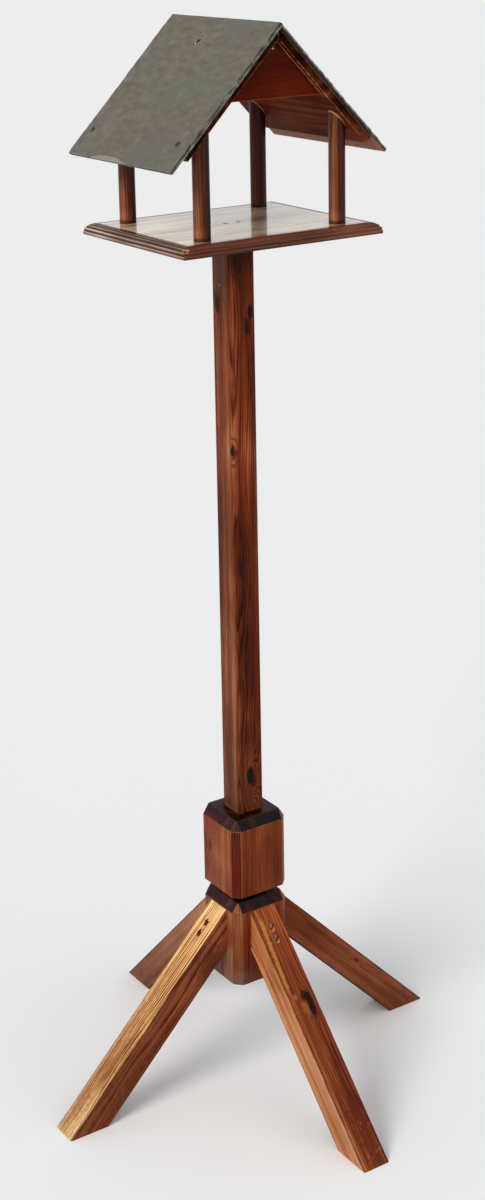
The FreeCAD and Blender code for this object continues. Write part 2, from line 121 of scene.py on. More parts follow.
class Graph:
    """The nodes of a material or a world, with the surface's colour so far."""

    def __init__(self, owner: Material | bpy.types.World) -> None:
        """Clears the owner's nodes.

        Args:
            owner: The material or the world.
        """
        self.owner = owner
        self.colour: Source = (0.0, 0.0, 0.0, 1.0)
        owner.use_nodes = True
        self.tree = owner.node_tree
        self.tree.nodes.clear()

    def node(self, kind: str, inputs: dict[int | str, Source],
             **settings: object) -> bpy.types.Node:
        """Adds one node.

        Args:
            kind: The node's type, without its common beginning.
            inputs: Its inputs, each with a socket to link or a fixed value.
            **settings: Values of the node's own properties.

        Returns:
            The new node.
        """
        made = self.tree.nodes.new("ShaderNode" + kind)
        for key, setting in settings.items():
            setattr(made, key, setting)
        for key, source in inputs.items():
            if isinstance(source, Socket):
                self.tree.links.new(source, made.inputs[key])
            else:
                made.inputs[key].default_value = source
        return made

    def place(self) -> Socket:
        """The piece's own coordinates, in metres."""
        return self.node("TexCoord", {}).outputs["Object"]

    def attribute(self, name: str) -> Socket:
        """A value that the mesh carries at each corner."""
        return self.node("Attribute", {}, attribute_name=name).outputs["Fac"]

    def part(self, vector: Socket, axis: str) -> Socket:
        """One part of a vector: X, Y or Z."""
        return self.node("SeparateXYZ", {0: vector}).outputs[axis]

    def moved(self, vector: Socket, shift: Vector, turn: Matrix) -> Socket:
        """Turns or mirrors a vector about the origin and then shifts it.

        Args:
            vector: The vector.
            shift: What is added to it.
            turn: The rotation, with or without a mirroring.

        Returns:
            The new vector.
        """
        flip = (math.copysign(1.0, turn.determinant()), 1.0, 1.0)
        turned = (turn @ Matrix.Diagonal(flip)).to_euler()
        return self.node("Mapping", {"Vector": vector, "Scale": flip, "Rotation": turned,
                                     "Location": shift}).outputs["Vector"]

    def vector(self, operation: str, first: Source, second: Source = (0, 0, 0)) -> Socket:
        """A sum, product or other operation on two vectors."""
        output = "Value" if operation in ("LENGTH", "DOT_PRODUCT", "DISTANCE") else "Vector"
        return self.node("VectorMath", {0: first, 1: second}, operation=operation).outputs[output]

    def math(self, operation: str, first: Source, second: Source = 0.0,
             clamp: bool = False) -> Socket:
        """A quotient or another operation on two numbers."""
        inputs = {0: first, 1: second}
        return self.node("Math", inputs, operation=operation, use_clamp=clamp).outputs[0]

    def add(self, first: Source, second: Source) -> Socket:
        """The sum of two numbers."""
        return self.math("ADD", first, second)

    def less(self, first: Source, second: Source) -> Socket:
        """The first number less the second."""
        return self.math("SUBTRACT", first, second)

    def times(self, first: Source, second: Source) -> Socket:
        """The product of two numbers."""
        return self.math("MULTIPLY", first, second)

    def noise(self, vector: Socket, stretch: Source, detail: float = 2.0,
              roughness: float = 0.5, output: str = "Fac") -> Socket:
        """Soft noise with its own number of spots to a metre along each axis."""
        inputs = {"Vector": self.vector("MULTIPLY", vector, stretch), "Scale": 1.0,
                  "Detail": detail, "Roughness": roughness}
        return self.node("TexNoise", inputs).outputs[output]

    def smooth(self, value: Source, low: float, high: float, out_low: float = 0.0,
               out_high: float = 1.0) -> Socket:
        """Eases from one result to another as a value goes from low to high."""
        inputs = {"Value": value, "From Min": low, "From Max": high, "To Min": out_low,
                  "To Max": out_high}
        return self.node("MapRange", inputs, interpolation_type="SMOOTHSTEP").outputs["Result"]

    def scaled(self, value: Source, low: float, high: float) -> Socket:
        """Spreads a value of 0 to 1 evenly over another range."""
        inputs = {"Value": value, "To Min": low, "To Max": high}
        return self.node("MapRange", inputs).outputs["Result"]

    def ragged(self, value: Source, vector: Socket, stretch: Source, reach: float,
               detail: float = 3.0) -> Socket:
        """Moves a value up and down by noise, as far as a reach."""
        return self.add(value, self.scaled(self.noise(vector, stretch, detail), -reach, reach))

    def ramp(self, factor: Socket, stops: Sequence[tuple[float, Sequence[float]]]) -> Socket:
        """Reads a colour off a scale.

        Args:
            factor: The place on the scale, 0 to 1.
            stops: Places on the scale, in order, with their colours.

        Returns:
            The colour.
        """
        made = self.node("ValToRGB", {"Fac": factor})
        elements = made.color_ramp.elements
        while len(elements) < len(stops):
            elements.new(0.5)
        for element, (position, colour) in zip(elements, stops):
            element.position, element.color = position, colour
        return made.outputs["Color"]

    def tones(self, factor: Socket, places: Sequence[float], codes: Tones) -> Socket:
        """Reads one of some screen colours off a scale."""
        return self.ramp(factor, list(zip(places, map(linear, codes))))

    def greys(self, factor: Socket, levels: Iterable[tuple[float, float]]) -> Socket:
        """Reads a grey off a scale."""
        return self.ramp(factor, [(place, (grey, grey, grey, 1.0)) for place, grey in levels])

    def mix(self, factor: Source, first: Source, second: Source,
            blend: str = "MIX") -> Socket:
        """Mixes two colours."""
        inputs = {0: factor, 6: first, 7: second}
        return self.node("Mix", inputs, data_type="RGBA", blend_type=blend).outputs[2]

    def tint(self, share: Source, code: str) -> None:
        """Lays a screen colour over the surface's colour."""
        self.colour = self.mix(share, self.colour, linear(code))

    def seen(self) -> Socket:
        """1 where the camera or a reflection looks straight at a surface."""
        path = self.node("LightPath", {}).outputs
        return self.math("MAXIMUM", path["Is Camera Ray"], path["Is Glossy Ray"])

    def finish(self, inputs: dict[int | str, Source], height: Socket | None = None,
               relief: float = 0.0) -> Material:
        """Joins everything to the surface.

        Args:
            inputs: The surface's inputs, apart from its colour.
            height: The height of its small relief, 0 to 1.
            relief: The depth of that relief in metres.

        Returns:
            The finished material.
        """
        if height is not None:
            bump = self.node("Bump", {"Height": height, "Strength": 1.0, "Distance": relief})
            inputs["Normal"] = bump.outputs["Normal"]
        shader = self.node("BsdfPrincipled", {"Base Color": self.colour, **inputs})
        self.node("OutputMaterial", {"Surface": shader.outputs["BSDF"]})
        return self.owner


@dataclass(frozen=True)
class Knot:
    """A knot in a piece of timber.

    Attributes:
        at: Its middle, in metres.
        radius: Half its width.
        darkness: How much of the knot's own colour shows.
        spread: How far the grain around it is pushed, in radii.
    """

    at: Triple
    radius: float
    darkness: float = 0.9
    spread: float = 3.0


@dataclass(frozen=True)
class Stain:
    """A soft-edged spot of another colour.

    Attributes:
        at: Its middle, in metres.
        reach: Its half sizes along X, Y and Z.
        colour: Its colour.
        strength: How much of it shows.
        fade: The part of the half size over which it fades.
        raggedness: How far its edge wanders, in half sizes.
    """

    at: Triple
    reach: Triple
    colour: str
    strength: float = 0.9
    fade: float = 0.6
    raggedness: float = 0.55

    def lay(self, graph: Graph, place: Socket) -> None:
        """Lays the spot over the surface's colour.

        Args:
            graph: The material's nodes.
            place: The coordinates that the spot is placed in.
        """
        offset = graph.vector("DIVIDE", graph.vector("SUBTRACT", place, self.at), self.reach)
        gap = graph.ragged(graph.vector("LENGTH", offset), place, STAIN_EDGE, self.raggedness)
        graph.tint(graph.smooth(gap, 1.0 - self.fade, 1.0, self.strength, 0.0), self.colour)


@dataclass(frozen=True)
class Sawing:
    """How a piece of timber was sawn from its log.

    Attributes:
        along: The direction of the grain.
        middle: A point on the piece's axis.
        across: The direction that one of its long faces looks in.
        pith: Where the log's heart lies from that axis: sideways, and across.
        section: Half its width and half its depth, where painted shadow lines run along its
            arrises.
        ring: The mean width of a growth ring.
        waver: How far the grain wanders sideways.
        seed: A shift that makes the piece unlike its neighbours.
        knots: The knots that show.
    """

    along: Triple
    middle: Triple
    across: Triple = (0.0, -1.0, 0.0)
    pith: tuple[float, float] = (-0.05, 0.035)
    section: tuple[float, float] | None = None
    ring: float = 0.0036
    waver: float = 0.010
    seed: float = 0.0
    knots: tuple[Knot, ...] = ()

    def turn(self) -> Matrix:
        """Turns the timber for its pattern.

        Returns:
            The rotation that lays the grain along X and the face to Z.
        """
        along, across = Vector(self.along).normalized(), Vector(self.across)
        across = (across - along * across.dot(along)).normalized()
        return Matrix((along, across.cross(along), across))


@dataclass(frozen=True)
class SideToneAndLight:
    """A side of a piece with tones of its own: on most sides painted light and shade for how the
    light falls there, on end grain its own darker colour.

    Attributes:
        facing: The direction that the side faces.
        tones: Its colours, from the darkest grain to the lightest.
        strength: How much of them shows.
        reach: The least cosine between the side and the direction.
        fade: The cosine over which they fade out below that.
    """

    facing: Triple
    tones: Tones
    strength: float = 1.0
    reach: float = 0.8
    fade: float = 0.12


@dataclass(frozen=True)
class StainedWood:
    """Timber with a coloured stain, with or without varnish over it.

    Attributes:
        tones: Its colours, from the darkest grain to the lightest.
        blush: A second hue that comes and goes along the grain.
        blush_share: How much of it shows.
        contrast: How strongly the growth rings show.
        banding: How strongly the broad streaks show.
        roughness: The sheen of the surface.
        coat: The weight of the varnish.
        coat_roughness: The sheen of the varnish.
        specular: How strongly the timber itself mirrors.
        relief: The depth of the open grain, in metres.
        side_tones_and_light: The sides with tones of their own, most of them painted light and
            shade.
        stains: Spots of other colours.
        brightness_by_height: Heights, in metres, with how bright the piece is there.
        arris: The colour of the painted shadow line along its arrises.
        knot: The colour of a knot's heart.
    """

    tones: Tones
    blush: str = "7a2a1c"
    blush_share: float = 0.25
    contrast: float = 0.5
    banding: float = 1.0
    roughness: float = 0.42
    coat: float = 0.0
    coat_roughness: float = 0.1
    specular: float = 0.06
    relief: float = 0.0003
    side_tones_and_light: tuple[SideToneAndLight, ...] = ()
    stains: tuple[Stain, ...] = ()
    brightness_by_height: Levels = ()
    arris: str = "3a1206"
    knot: str = "170805"

    def grain(self, graph: Graph, spot: Socket, sawing: Sawing) -> tuple[Socket, ...]:
        """Lays out growth rings, fibres and knots.

        Args:
            graph: The material's nodes.
            spot: Coordinates with the grain along X.
            sawing: How the piece was sawn.

        Returns:
            The tone from dark to light, the late wood's share, the knots' share and the
            fibres.
        """
        wander = graph.noise(spot, WANDER, output="Color")
        drift = graph.vector("MULTIPLY", graph.vector("SUBTRACT", wander, (0.5, 0.5, 0.5)),
                             (0.0, 2 * sawing.waver, 2 * sawing.waver))
        across = graph.vector("MULTIPLY", graph.vector("ADD", spot, drift), (0.0, 1.0, 1.0))
        radius = graph.vector("DISTANCE", across, (0.0, *sawing.pith))
        knots: Source = 0.0
        for knot in sawing.knots:
            centre = sawing.turn() @ (Vector(knot.at) - Vector(sawing.middle))
            offset = graph.vector("MULTIPLY", graph.vector("SUBTRACT", spot, centre),
                                  (0.42, 1.0, 1.0))
            gap = graph.vector("LENGTH", offset)
            push = graph.smooth(gap, 0.0, knot.radius * knot.spread, knot.radius * 1.6, 0.0)
            radius = graph.add(radius, push)
            gap = graph.ragged(gap, spot, KNOT_EDGE, 0.3 * knot.radius, 2.0)
            core = graph.smooth(gap, knot.radius * 0.7, knot.radius * 1.15, knot.darkness, 0.0)
            knots = graph.math("MAXIMUM", knots, core)
        phase = graph.ragged(graph.math("DIVIDE", radius, sawing.ring), spot, WAVES, 1.7)
        late = graph.greys(graph.math("FRACT", phase),
                           [(0.0, 0.0), (0.45, 0.12), (0.82, 1.0), (1.0, 0.0)])
        ring = graph.math("FLOOR", graph.add(phase, sawing.seed))
        lot = graph.node("TexWhiteNoise", {"W": ring}, noise_dimensions="1D").outputs["Value"]
        late = graph.times(late, graph.scaled(lot, 0.3, 1.0))
        fibre = graph.noise(spot, FIBRES, 3.0)
        tone = graph.ragged(0.58, spot, STREAKS, self.banding)
        tone = graph.ragged(tone, spot, BLOTCHES, 0.6, 2.0)
        tone = graph.add(tone, graph.scaled(fibre, -0.45, 0.45))
        tone = graph.math("SUBTRACT", tone, graph.times(late, self.contrast), clamp=True)
        return tone, late, graph.math("ADD", knots, 0.0, clamp=True), fibre

    def stain(self, graph: Graph, spot: Socket, tone: Socket) -> None:
        """Colours the surface by its tone, side by side, with painted light and shade on some
        sides.

        Args:
            graph: The material's nodes.
            spot: Coordinates with the grain along X.
            tone: The tone from dark to light.
        """
        graph.colour = graph.tones(tone, WOOD_SCALE, self.tones)
        faces = graph.node("TexCoord", {}).outputs["Normal"]
        for side in self.side_tones_and_light:
            lean = graph.vector("DOT_PRODUCT", faces, side.facing)
            share = graph.smooth(lean, side.reach - side.fade, side.reach, 0.0, side.strength)
            weathered = graph.tones(tone, WOOD_SCALE, side.tones)
            graph.colour = graph.mix(share, graph.colour, weathered)
        hue = graph.noise(spot, HUES)
        graph.tint(graph.smooth(hue, 0.45, 0.72, 0.0, self.blush_share), self.blush)

    def shade_arrises(self, graph: Graph, spot: Socket, section: tuple[float, float]) -> None:
        """Paints a ragged shadow line along the four long arrises.

        Args:
            graph: The material's nodes.
            spot: Coordinates with the grain along X.
            section: Half the width and half the depth of the piece.
        """
        width, depth = (graph.less(half, graph.math("ABSOLUTE", graph.part(spot, axis)))
                        for half, axis in zip(section, "YZ"))
        gap = graph.ragged(graph.math("MAXIMUM", width, depth), spot, ARRIS_EDGE, 0.0022)
        graph.tint(graph.smooth(gap, 0.0008, 0.0036, 0.8, 0.0), self.arris)

    def scale_by_height(self, graph: Graph) -> None:
        """Makes the piece darker or brighter level by level.

        Args:
            graph: The material's nodes.
        """
        low, span = self.brightness_by_height[0][0], self.brightness_by_height[-1][0] - self.brightness_by_height[0][0]
        share = graph.math("DIVIDE", graph.less(graph.part(graph.place(), "Z"), low), span)
        levels = [((level - low) / span, tone) for level, tone in self.brightness_by_height]
        graph.colour = graph.mix(1.0, graph.colour, graph.greys(share, levels), "MULTIPLY")

    def dress(self, name: str, sawing: Sawing, mark: Mark | None = None) -> Material:
        """Makes the material of one piece.

        Args:
            name: The piece's name.
            sawing: How the piece was sawn.
            mark: Draws marks of the piece's own.

        Returns:
            The material.
        """
        graph = Graph(bpy.data.materials.new(name + "_wood"))
        place, turn = graph.place(), sawing.turn()
        spot = graph.moved(place, -(turn @ Vector(sawing.middle)), turn)
        tone, late, knots, fibre = self.grain(graph, spot, sawing)
        self.stain(graph, graph.vector("ADD", spot, (sawing.seed, 0.0, 0.0)), tone)
        for patch in self.stains:
            patch.lay(graph, place)
        graph.tint(knots, self.knot)
        if sawing.section:
            self.shade_arrises(graph, spot, sawing.section)
        if self.brightness_by_height:
            self.scale_by_height(graph)
        if mark:
            mark(graph, place)
        return graph.finish({
            "Roughness": graph.add(self.roughness, graph.scaled(fibre, -0.09, 0.09)),
            "Specular IOR Level": self.specular, "Coat Weight": self.coat,
            "Coat Roughness": self.coat_roughness, "Coat IOR": 1.5,
        }, graph.less(fibre, graph.times(late, 0.5)), self.relief)


@dataclass(frozen=True)
class Crater:
    """Where a screw has broken the face of a slate.

    Attributes:
        run: Distance down the slope from the ridge.
        along: Distance from the slate's middle towards the back.
        radius: Reach of the broken rings.
        depth: Depth at the middle.
        hole: Radius of the painted shade in the screw's hole.
    """

    run: float
    along: float
    radius: float
    depth: float
    hole: float


@dataclass(frozen=True)
class RivenSlate:
    """Split roofing slate with chipped rims.

    Attributes:
        face: The greys of its face, from dark to light.
        green: The tint of its paler patches.
        plum: The tint of its darker patches.
        rim: Colours of the sawn and broken rim, from dark to light.
        lip: The colour laid in patches along the rim's lower arris: a painted highlight on the
            left slate.
        broken: Colours of the broken arris at the front, from dark to light.
        worn: The other arrises, where the weather has rubbed them pale.
        below: The underside's colour: stained, and on the right slate much lighter as painted
            light.
        shade: The underside's shaded front edge.
        shade_along: Where that dark edge fades out, going back.
        shade_down: Where it fades out, going down the slope.
        ring: Distance between the broken rings round a screw.
    """

    face: Tones = ("443e34", "686155", "827c6e")
    green: str = "5f6657"
    plum: str = "635a58"
    rim: Tones = ("33302e", "6a655e", "99938a")
    lip: str = "cdc7bc"
    broken: Tones = ("1b1a1f", "3f3c3b", "7b766d")
    worn: str = "a09a8c"
    below: str = "8e4640"
    shade: str = "1c0f10"
    shade_along: tuple[float, float] = (-0.1322, -0.1308)
    shade_down: tuple[float, float] = (0.220, 0.232)
    ring: float = 0.0044

    def dress(self, name: str, turn: Matrix, shift: Vector,
              craters: Sequence[Crater], stains: Sequence[Stain]) -> Material:
        """Makes the material of one slate.

        Args:
            name: The slate's name.
            turn: The rotation from the row frame to the slate's flat frame.
            shift: What is added after that rotation.
            craters: The broken places round its screws.
            stains: Spots of other colours, placed in the slate's flat frame.

        Returns:
            The material.
        """
        graph = Graph(bpy.data.materials.new(name + "_stone"))
        spot = graph.moved(graph.place(), shift, turn)
        mottle = graph.noise(spot, MOTTLES, 5.0, 0.55)
        speck = graph.noise(spot, SPECKS)
        streak = graph.noise(spot, STONE_STREAKS, 3.0)
        shade = graph.add(graph.scaled(mottle, -0.05, 1.05), graph.scaled(speck, -0.12, 0.12))
        shade = graph.math("ADD", shade, graph.scaled(streak, -0.22, 0.22), clamp=True)
        graph.colour = graph.tones(shade, (0.0, 0.5, 1.0), self.face)
        patch = graph.noise(spot, PATCHES, 3.0)
        graph.tint(graph.smooth(patch, 0.5, 0.68, 0.0, 0.5), self.green)
        cloud = graph.noise(spot, CLOUDS)
        graph.tint(graph.smooth(cloud, 0.54, 0.72, 0.0, 0.5), self.plum)
        for stain in stains:
            stain.lay(graph, spot)
        for crater in craters:
            self.shatter(graph, spot, crater)
        below = self.underside(graph, spot)
        graph.colour = graph.mix(graph.attribute("below"), graph.colour, below)
        graph.tint(graph.attribute("pale"), self.worn)
        blob = graph.noise(spot, BLOBS, 3.0, 0.6)
        for label, low, high, codes in (("broken", 0.1, 0.6, self.broken),
                                        ("rim", 0.2, 0.8, self.rim)):
            share = graph.smooth(graph.attribute(label), low, high)
            graph.colour = graph.mix(share, graph.colour, graph.tones(blob, RIM_SCALE, codes))
        # A painted highlight in patches along the rim's lower arris.
        bright = graph.smooth(graph.noise(spot, GLINTS, 3.0), 0.44, 0.56)
        lip = graph.smooth(graph.attribute("lip"), 0.3, 0.9, 0.0, 0.85)
        graph.tint(graph.times(lip, bright), self.lip)
        height = graph.add(graph.times(mottle, 0.8), graph.times(speck, 0.25))
        return graph.finish({"Roughness": graph.scaled(mottle, 0.5, 0.72),
                             "Specular IOR Level": 0.3}, height, 0.0008)

    def underside(self, graph: Graph, spot: Socket) -> Socket:
        """The underside's colour, dark along the front edge past the board.

        Args:
            graph: The material's nodes.
            spot: Coordinates in the slate's flat frame.

        Returns:
            The colour.
        """
        damp = graph.scaled(graph.noise(spot, DAMP, 4.0), 0.0, 0.5)
        edge = graph.smooth(graph.part(spot, "Y"), *self.shade_along, 0.9, 0.0)
        upper = graph.smooth(graph.part(spot, "X"), *self.shade_down, 1.0, 0.0)
        below = graph.mix(damp, linear(self.below), linear(self.face[0]))
        return graph.mix(graph.times(edge, upper), below, linear(self.shade))

    def shatter(self, graph: Graph, spot: Socket, crater: Crater) -> None:
        """Draws the broken rings round a screw, and painted shade in its hole.

        Args:
            graph: The material's nodes.
            spot: Coordinates in the slate's flat frame.
            crater: The broken place.
        """
        flat = graph.vector("MULTIPLY", spot, (1.0, 1.0, 0.0))
        gap = graph.ragged(graph.vector("DISTANCE", flat, (crater.run, crater.along, 0.0)),
                           spot, CRATER_EDGE, 0.0022)
        wave = graph.math("COSINE", graph.times(gap, math.tau / self.ring))
        patchy = graph.smooth(graph.noise(spot, CRATER_PATCHES), 0.36, 0.52)
        near = graph.times(patchy, graph.smooth(gap, crater.radius * 0.6, crater.radius * 1.1,
                                                0.9, 0.0))
        for low, high, code in ((0.1, 0.9, BROKEN_DARK), (-0.2, -0.9, BROKEN_PALE)):
            graph.tint(graph.times(near, graph.smooth(wave, low, high)), code)
        graph.tint(graph.smooth(gap, crater.hole * 0.75, crater.hole * 1.35, 0.95, 0.0), HOLE_SHADE)


@dataclass(frozen=True)
class PlatedSteel:
    """Dulled plating of a small screw.

    Attributes:
        bright: The colour of the plating.
        tarnish: The colour where it is dull.
        metallic: How metallic it looks.
    """

    bright: str = "8c8a84"
    tarnish: str = "3a302a"
    metallic: float = 0.9

    def dress(self, name: str) -> Material:
        """Makes the material of a group of screws.

        Args:
            name: The group's name.

        Returns:
            The material.
        """
        graph = Graph(bpy.data.materials.new(name + "_steel"))
        spot = graph.place()
        dull = graph.noise(spot, TARNISH, 3.0)
        graph.colour = linear(self.bright)
        graph.tint(graph.smooth(dull, 0.4, 0.65), self.tarnish)
        return graph.finish({"Roughness": graph.scaled(dull, 0.3, 0.6),
                             "Metallic": self.metallic}, graph.noise(spot, PITS), 0.0001)


# The tones of each timber, from its darkest grain to its lightest.
POST_FRONT = ("2c0903", "682608", "923c1a", "c8764c")
# Painted light: the lit left face of the post.
POST_LIT_LEFT = ("441604", "7a3a18", "964c28", "c4825a")
# Painted light: the lit left face of the collar and the lit corner bevel of the base block.
BLOCK_LIT_LEFT = ("441404", "843616", "984e2a", "ba7446")
BLOCK_RIGHT = ("3e1003", "7c310c", "94451f", "b46a3c")
BLOCK_FACET = ("300501", "601405", "701f07", "963e14")
BEVEL_DARK = ("020101", "080302", "100604", "1e100a")
# Painted reflection: the plum sheen of the sky on the blocks' side bevels and the collar's corner
# bevel.
BEVEL_SKY_REFLECTION = ("0c0403", "240b07", "351610", "563c32")
# Painted light: the sunlit upper face of the left leg.
LEG_SUNLIT_TOP = ("5c240c", "e2a262", "ffd090", "fff4d4")
# On the front leg's upper face these lighter tones paint sunlight.
LEG_AMBER = ("481404", "7c3616", "9c4c22", "cc8448")
LEG_SIDE = ("5c2410", "8a4426", "9e5432", "b66e4c")
LEG_PINK = ("96502c", "c67a48", "d89060", "eca87c")
LEG_RIGHT = ("602810", "874121", "9b5233", "b66c46")
LEG_BACK = ("643a24", "8a5436", "a0684a", "bc8460")
# Painted light: the lit left strip of moulding, with painted highlights on its reeds.
MOULDING_LIT_LEFT = ("3a1006", "72452f", "a27860", "dcbcaa")
MOULDING_FRONT = ("36100a", "52260f", "6c361b", "8c5236")
# Painted reflection: the sky in the varnish on the tray's top.
TRAY_TOP_SKY_REFLECTION = ("8a6242", "dcb48c", "ffe0b8", "fff4d8")
ROUND_POST = ("1c0703", "4c1e0e", "6c331d", "925636")
BOARD = ("3c1408", "6a2c14", "85411f", "a45c36")
BOARD_END = ("1c0a04", "3c1a0a", "643214", "8a5228")
BOARD_SHADED = ("100502", "241006", "40200e", "66401f")
# Painted highlight along the roof boards' rounded arrises.
BOARD_ARRIS_HIGHLIGHT = ("5a2a12", "a0603a", "c8845a", "e0a67c")
BOARD_BELOW = ("4c1804", "6c260a", "88401c", "ac623e")
# Painted light: the lit left face of the base block.
BASE_LIT_LEFT = ("5d1f04", "854520", "a0643e", "c4845a")
# Painted highlight along the blocks' rounded arrises.
ARRIS_HIGHLIGHT = ("3e1808", "7a4020", "955834", "b67c54")
# Painted light: the lit left side of a round post.
ROUND_LIT_SIDE = ("401408", "76422a", "98593a", "bc7e56")
# Painted shade: the shaded right side of a round post, and the whole back-right post.
ROUND_SHADED = ("100302", "260a05", "36110a", "4a1f14")
BASE_FACET = ("3c1408", "6e3c22", "84502f", "a07050")
GABLE_RED = ("360602", "4a0a02", "5c1402", "742404")
UNDERSIDE = ("48200f", "6d3a26", "8a5141", "a87060")


class Side(Enum):
    """The two slopes of the roof."""

    LEFT = -1
    RIGHT = 1

    def named(self, stem: str) -> str:
        """The name of a piece of this side."""
        return f"{stem}_{self.name.lower()}"

    def tip(self, pitch: float) -> Matrix:
        """The turn from the level to this slope."""
        return Matrix.Rotation(self.value * pitch, 4, "Y")


class Edge(Enum):
    """The four edges of a slate."""

    FRONT = 0
    BACK = 1
    EAVE = 2
    HEAD = 3


def deselect() -> None:
    """Leaves nothing selected."""
    bpy.ops.object.select_all(action="DESELECT")


def activate(piece: Piece) -> None:
    """Makes a piece the only selected one.

    Args:
        piece: The piece.
    """
    deselect()
    piece.select_set(True)
    bpy.context.view_layer.objects.active = piece


def apply_modifier(piece: Piece, kind: str, **settings: object) -> None:
    """Adds a modifier and makes its result the mesh.

    Args:
        piece: The piece.
        kind: The modifier's type.
        **settings: Its settings.
    """
    activate(piece)
    modifier = piece.modifiers.new(kind.title(), kind)
    for key, setting in settings.items():
        setattr(modifier, key, setting)
    bpy.ops.object.modifier_apply(modifier=modifier.name)


def smooth_faces(piece: Piece, degrees: float = 35.0) -> None:
    """Shades a piece smooth where its faces meet at a small angle."""
    activate(piece)
    bpy.ops.object.shade_smooth_by_angle(angle=math.radians(degrees))


def name_new(name: str) -> Piece:
    """Names the piece that was just added and gives its place to its mesh.

    Args:
        name: The piece's name.

    Returns:
        The piece.
    """
    bpy.ops.object.transform_apply(location=True, rotation=True, scale=True)
    piece = bpy.context.active_object
    piece.name = piece.data.name = name
    return piece


def add_box(name: str, low: Sequence[float], high: Sequence[float]) -> Piece:
    """Adds a box between two corners.

    Args:
        name: The piece's name.
        low: Its lowest corner.
        high: Its highest corner.

    Returns:
        The box, with its place in its mesh.
    """
    deselect()
    low_corner, high_corner = Vector(low), Vector(high)
    bpy.ops.mesh.primitive_cube_add(size=1.0, location=(low_corner + high_corner) / 2)
    bpy.context.active_object.scale = high_corner - low_corner
    return name_new(name)


def cut(piece: Piece, low: Sequence[float], high: Sequence[float]) -> None:
    """Takes a box out of a piece.

    Args:
        piece: The piece.
        low: The box's lowest corner.
        high: Its highest corner.
    """
    cutter = add_box("cutter", low, high)
    apply_modifier(piece, "BOOLEAN", operation="DIFFERENCE", object=cutter, solver="EXACT")
    bpy.data.objects.remove(cutter)


def soften(piece: Piece, width: float) -> None:
    """Rounds a piece's arrises and gives them its second material."""
    apply_modifier(piece, "BEVEL", width=width, segments=3, material=1,
                   limit_method="ANGLE", angle_limit=math.radians(25))


def edit(piece: Piece, kind: str, test: Callable[..., bool],
         *steps: Callable[[], object]) -> None:
    """Works on some parts of a piece in edit mode.

    Args:
        piece: The piece.
        kind: VERT, EDGE or FACE.
        test: Says whether a part is selected.
        *steps: What is done with the selected parts, in order.
    """
    activate(piece)
    bpy.ops.object.mode_set(mode="EDIT")
    bpy.ops.mesh.select_mode(type=kind)
    bpy.ops.mesh.select_all(action="DESELECT")
    shape = bmesh.from_edit_mesh(piece.data)
    for part in {"VERT": shape.verts, "EDGE": shape.edges, "FACE": shape.faces}[kind]:
        if test(part):
            part.select_set(True)
    shape.select_flush_mode()
    bmesh.update_edit_mesh(piece.data)
    for step in steps:
        step()
    bpy.ops.object.mode_set(mode="OBJECT")


def raise_faces(rise: float) -> None:
    """Extrudes the selected faces along Z."""
    bpy.ops.mesh.extrude_region_move(TRANSFORM_OT_translate={"value": (0, 0, rise)})


def runs_along(axis: int) -> Callable[[bmesh.types.BMEdge], bool]:
    """A test for edges that run along an axis.

    Args:
        axis: 0, 1 or 2 for X, Y or Z.

    Returns:
        The test.
    """
    def test(edge: bmesh.types.BMEdge) -> bool:
        """Whether an edge runs along the axis."""
        run = edge.verts[0].co - edge.verts[1].co
        return abs(run[axis]) > 0.999 * run.length
    return test


def lay(piece: Piece, placement: Matrix) -> None:
    """Puts a flat piece in its place, its faces outwards also when it is mirrored."""
    piece.data.transform(placement)
    if placement.is_negative:
        piece.data.flip_normals()


def wear(piece: Piece, *materials: Material) -> None:
    """Gives a piece its materials."""
    piece.data.materials.clear()
    for material in materials:
        piece.data.materials.append(material)


def dress_node(name: str, material: Material) -> None:
    """Gives a piece of the frame its material."""
    wear(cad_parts[name], material)
    LOG.info("%s keeps its shape and gets %s", name, material.name)


def hand_over(piece: Piece, body: str, slot: str, *nodes: str) -> None:
    """Joins a new piece to its body and says what it stands for.

    Args:
        piece: The new piece.
        body: The body that carries it.
        slot: Not used.
        *nodes: The pieces of the frame that it stands for.
    """
    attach(piece, body)
    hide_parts(*nodes)
    LOG.info("%s rides on %s for %s: %d faces", piece.name, body, ", ".join(nodes),
             len(piece.data.polygons))


